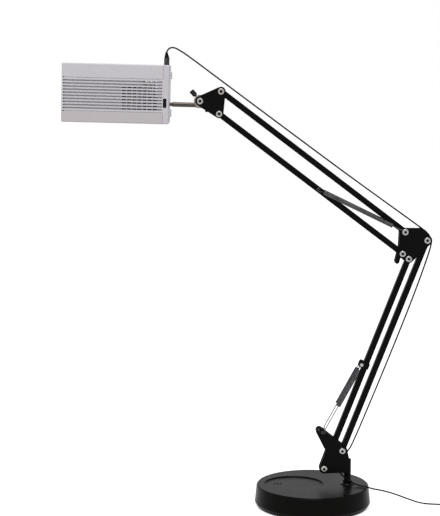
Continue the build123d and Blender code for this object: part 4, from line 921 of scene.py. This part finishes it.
# %% A tree that sets a row of dots
DOT_FLATNESS = 0.5
DOT_INPUTS = {
    "Count": "NodeSocketInt",
    "Spacing": "NodeSocketFloat",
    "Dot radius": "NodeSocketFloat",
    "Finish": "NodeSocketMaterial",
}
dot_tree = bpy.data.node_groups.new("row_of_dots", "GeometryNodeTree")
for label, kind in DOT_INPUTS.items():
    dot_tree.interface.new_socket(label, in_out="INPUT", socket_type=kind)
dot_tree.interface.new_socket("Dots", in_out="OUTPUT", socket_type="NodeSocketGeometry")
given = node(dot_tree, "NodeGroupInput")
step = node(dot_tree, "ShaderNodeCombineXYZ", [("X", given.outputs["Spacing"])])
row = node(
    dot_tree,
    "GeometryNodeMeshLine",
    [("Count", given.outputs["Count"]), ("Offset", step.outputs[0])],
)
dome = node(
    dot_tree,
    "GeometryNodeMeshUVSphere",
    [("Segments", 20), ("Rings", 10), ("Radius", given.outputs["Dot radius"])],
)
flat = node(
    dot_tree,
    "GeometryNodeTransform",
    [("Geometry", dome.outputs["Mesh"]), ("Scale", (1.0, 1.0, DOT_FLATNESS))],
)
spread = node(
    dot_tree,
    "GeometryNodeInstanceOnPoints",
    [("Points", row.outputs[0]), ("Instance", flat.outputs[0])],
)
real = node(dot_tree, "GeometryNodeRealizeInstances", [("Geometry", spread.outputs[0])])
smooth = node(dot_tree, "GeometryNodeSetShadeSmooth", [("Geometry", real.outputs[0])])
dressed = node(
    dot_tree,
    "GeometryNodeSetMaterial",
    [("Geometry", smooth.outputs[0]), ("Material", given.outputs["Finish"])],
)
node(dot_tree, "NodeGroupOutput", [("Dots", dressed.outputs[0])])
print(len(dot_tree.nodes), "nodes in the tree")

# %% Three dots in the dish
DOT_COUNT = 3
DOT_SPACING = 0.005
DOT_RADIUS = 0.0019
FIRST_DOT = (-0.0647, 0.0070, 0.0370)

holder = bpy.data.objects.new("dots", bpy.data.meshes.new("dots_start"))
bpy.context.scene.collection.objects.link(holder)
modifier = holder.modifiers.new("dots", "NODES")
modifier.node_group = dot_tree
sockets = input_identifiers(dot_tree)
modifier[sockets["Count"]] = DOT_COUNT
modifier[sockets["Spacing"]] = DOT_SPACING
modifier[sockets["Dot radius"]] = DOT_RADIUS
modifier[sockets["Finish"]] = arm_paint
graph = bpy.context.evaluated_depsgraph_get()
baked = bpy.data.meshes.new_from_object(holder.evaluated_get(graph), depsgraph=graph)
bpy.data.objects.remove(holder)
baked.transform(Matrix.Translation(FIRST_DOT))
dots = bpy.data.objects.new("dish_dots", baked)
bpy.context.scene.collection.objects.link(dots)
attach(dots, "root")
print("dots", len(baked.polygons), "faces")

# %% [markdown]
# ## The studio
#
# The photograph is a cut-out on plain white. A pale floor and one colour of world light do that: what the
# camera and mirrors see of them is plain white, while the light that they give the object stays at an
# ordinary level. The floor keeps a soft shadow, so the base still stands on something.

# %% Floor and world
def seen_directly(tree):
    """1 where the camera, a mirror or a clear piece looks, and 0 where the surface only gives light."""
    path = node(tree, "ShaderNodeLightPath")
    seen = node(
        tree,
        "ShaderNodeMath",
        [(0, path.outputs["Is Camera Ray"]), (1, path.outputs["Is Glossy Ray"])],
        operation="MAXIMUM",
    )
    seen = node(
        tree,
        "ShaderNodeMath",
        [(0, seen.outputs[0]), (1, path.outputs["Is Transmission Ray"])],
        operation="MAXIMUM",
    )
    return seen.outputs[0]


WHITE = (1, 1, 1, 1)
FLOOR_GLOW = 0.74
FLOOR_REACH = 8.0
ROOM_LIGHT = 0.36

floor_material = bpy.data.materials.new("white_floor")
floor_material.use_nodes = True
tree = floor_material.node_tree
tree.nodes.clear()
seen = seen_directly(tree)
matt = node(tree, "ShaderNodeBsdfDiffuse", [("Color", linear("#f2f2f2"))])
glow = node(tree, "ShaderNodeEmission", [("Color", WHITE), ("Strength", FLOOR_GLOW)])
both = node(tree, "ShaderNodeAddShader", [(0, matt.outputs[0]), (1, glow.outputs[0])])
choice = node(tree, "ShaderNodeMixShader", [(0, seen), (1, matt.outputs[0]), (2, both.outputs[0])])
node(tree, "ShaderNodeOutputMaterial", [("Surface", choice.outputs[0])])

floor_mesh = bpy.data.meshes.new("floor")
corners = [(x * FLOOR_REACH, y * FLOOR_REACH, 0) for x, y in ((-1, -1), (1, -1), (1, 1), (-1, 1))]
floor_mesh.from_pydata(corners, [], [(0, 1, 2, 3)])
floor_mesh.materials.append(floor_material)
floor = bpy.data.objects.new("floor", floor_mesh)
bpy.context.scene.collection.objects.link(floor)

world = bpy.data.worlds.new("studio")
bpy.context.scene.world = world
world.use_nodes = True
tree = world.node_tree
tree.nodes.clear()
seen = seen_directly(tree)
dim = node(tree, "ShaderNodeBackground", [("Color", WHITE), ("Strength", ROOM_LIGHT)])
white = node(tree, "ShaderNodeBackground", [("Color", WHITE), ("Strength", 1.0)])
choice = node(tree, "ShaderNodeMixShader", [(0, seen), (1, dim.outputs[0]), (2, white.outputs[0])])
node(tree, "ShaderNodeOutputWorld", [("Surface", choice.outputs[0])])
print("floor and world made")

# %% [markdown]
# ## Lamps
#
# The highlights in the photograph say where its light came from: the base's top and rim and the rod's
# upper side are bright, so the main light is large and overhead, and a weaker one from the front left
# keeps the case's broad side even.


# %% Lamps
def softbox(name, place, target, size, power):
    """A square area lamp that looks at a point."""
    data = bpy.data.lights.new(name, "AREA")
    data.size = size
    data.energy = power
    lamp = bpy.data.objects.new(name, data)
    bpy.context.scene.collection.objects.link(lamp)
    lamp.location = place
    lamp.rotation_euler = (Vector(target) - Vector(place)).to_track_quat("-Z", "Y").to_euler()


softbox("overhead", place=(-0.1, -0.9, 2.4), target=(-0.05, 0, 0.4), size=1.0, power=25)
softbox("front_left", place=(-1.6, -2.0, 1.3), target=(0, 0, 0.4), size=1.4, power=9)
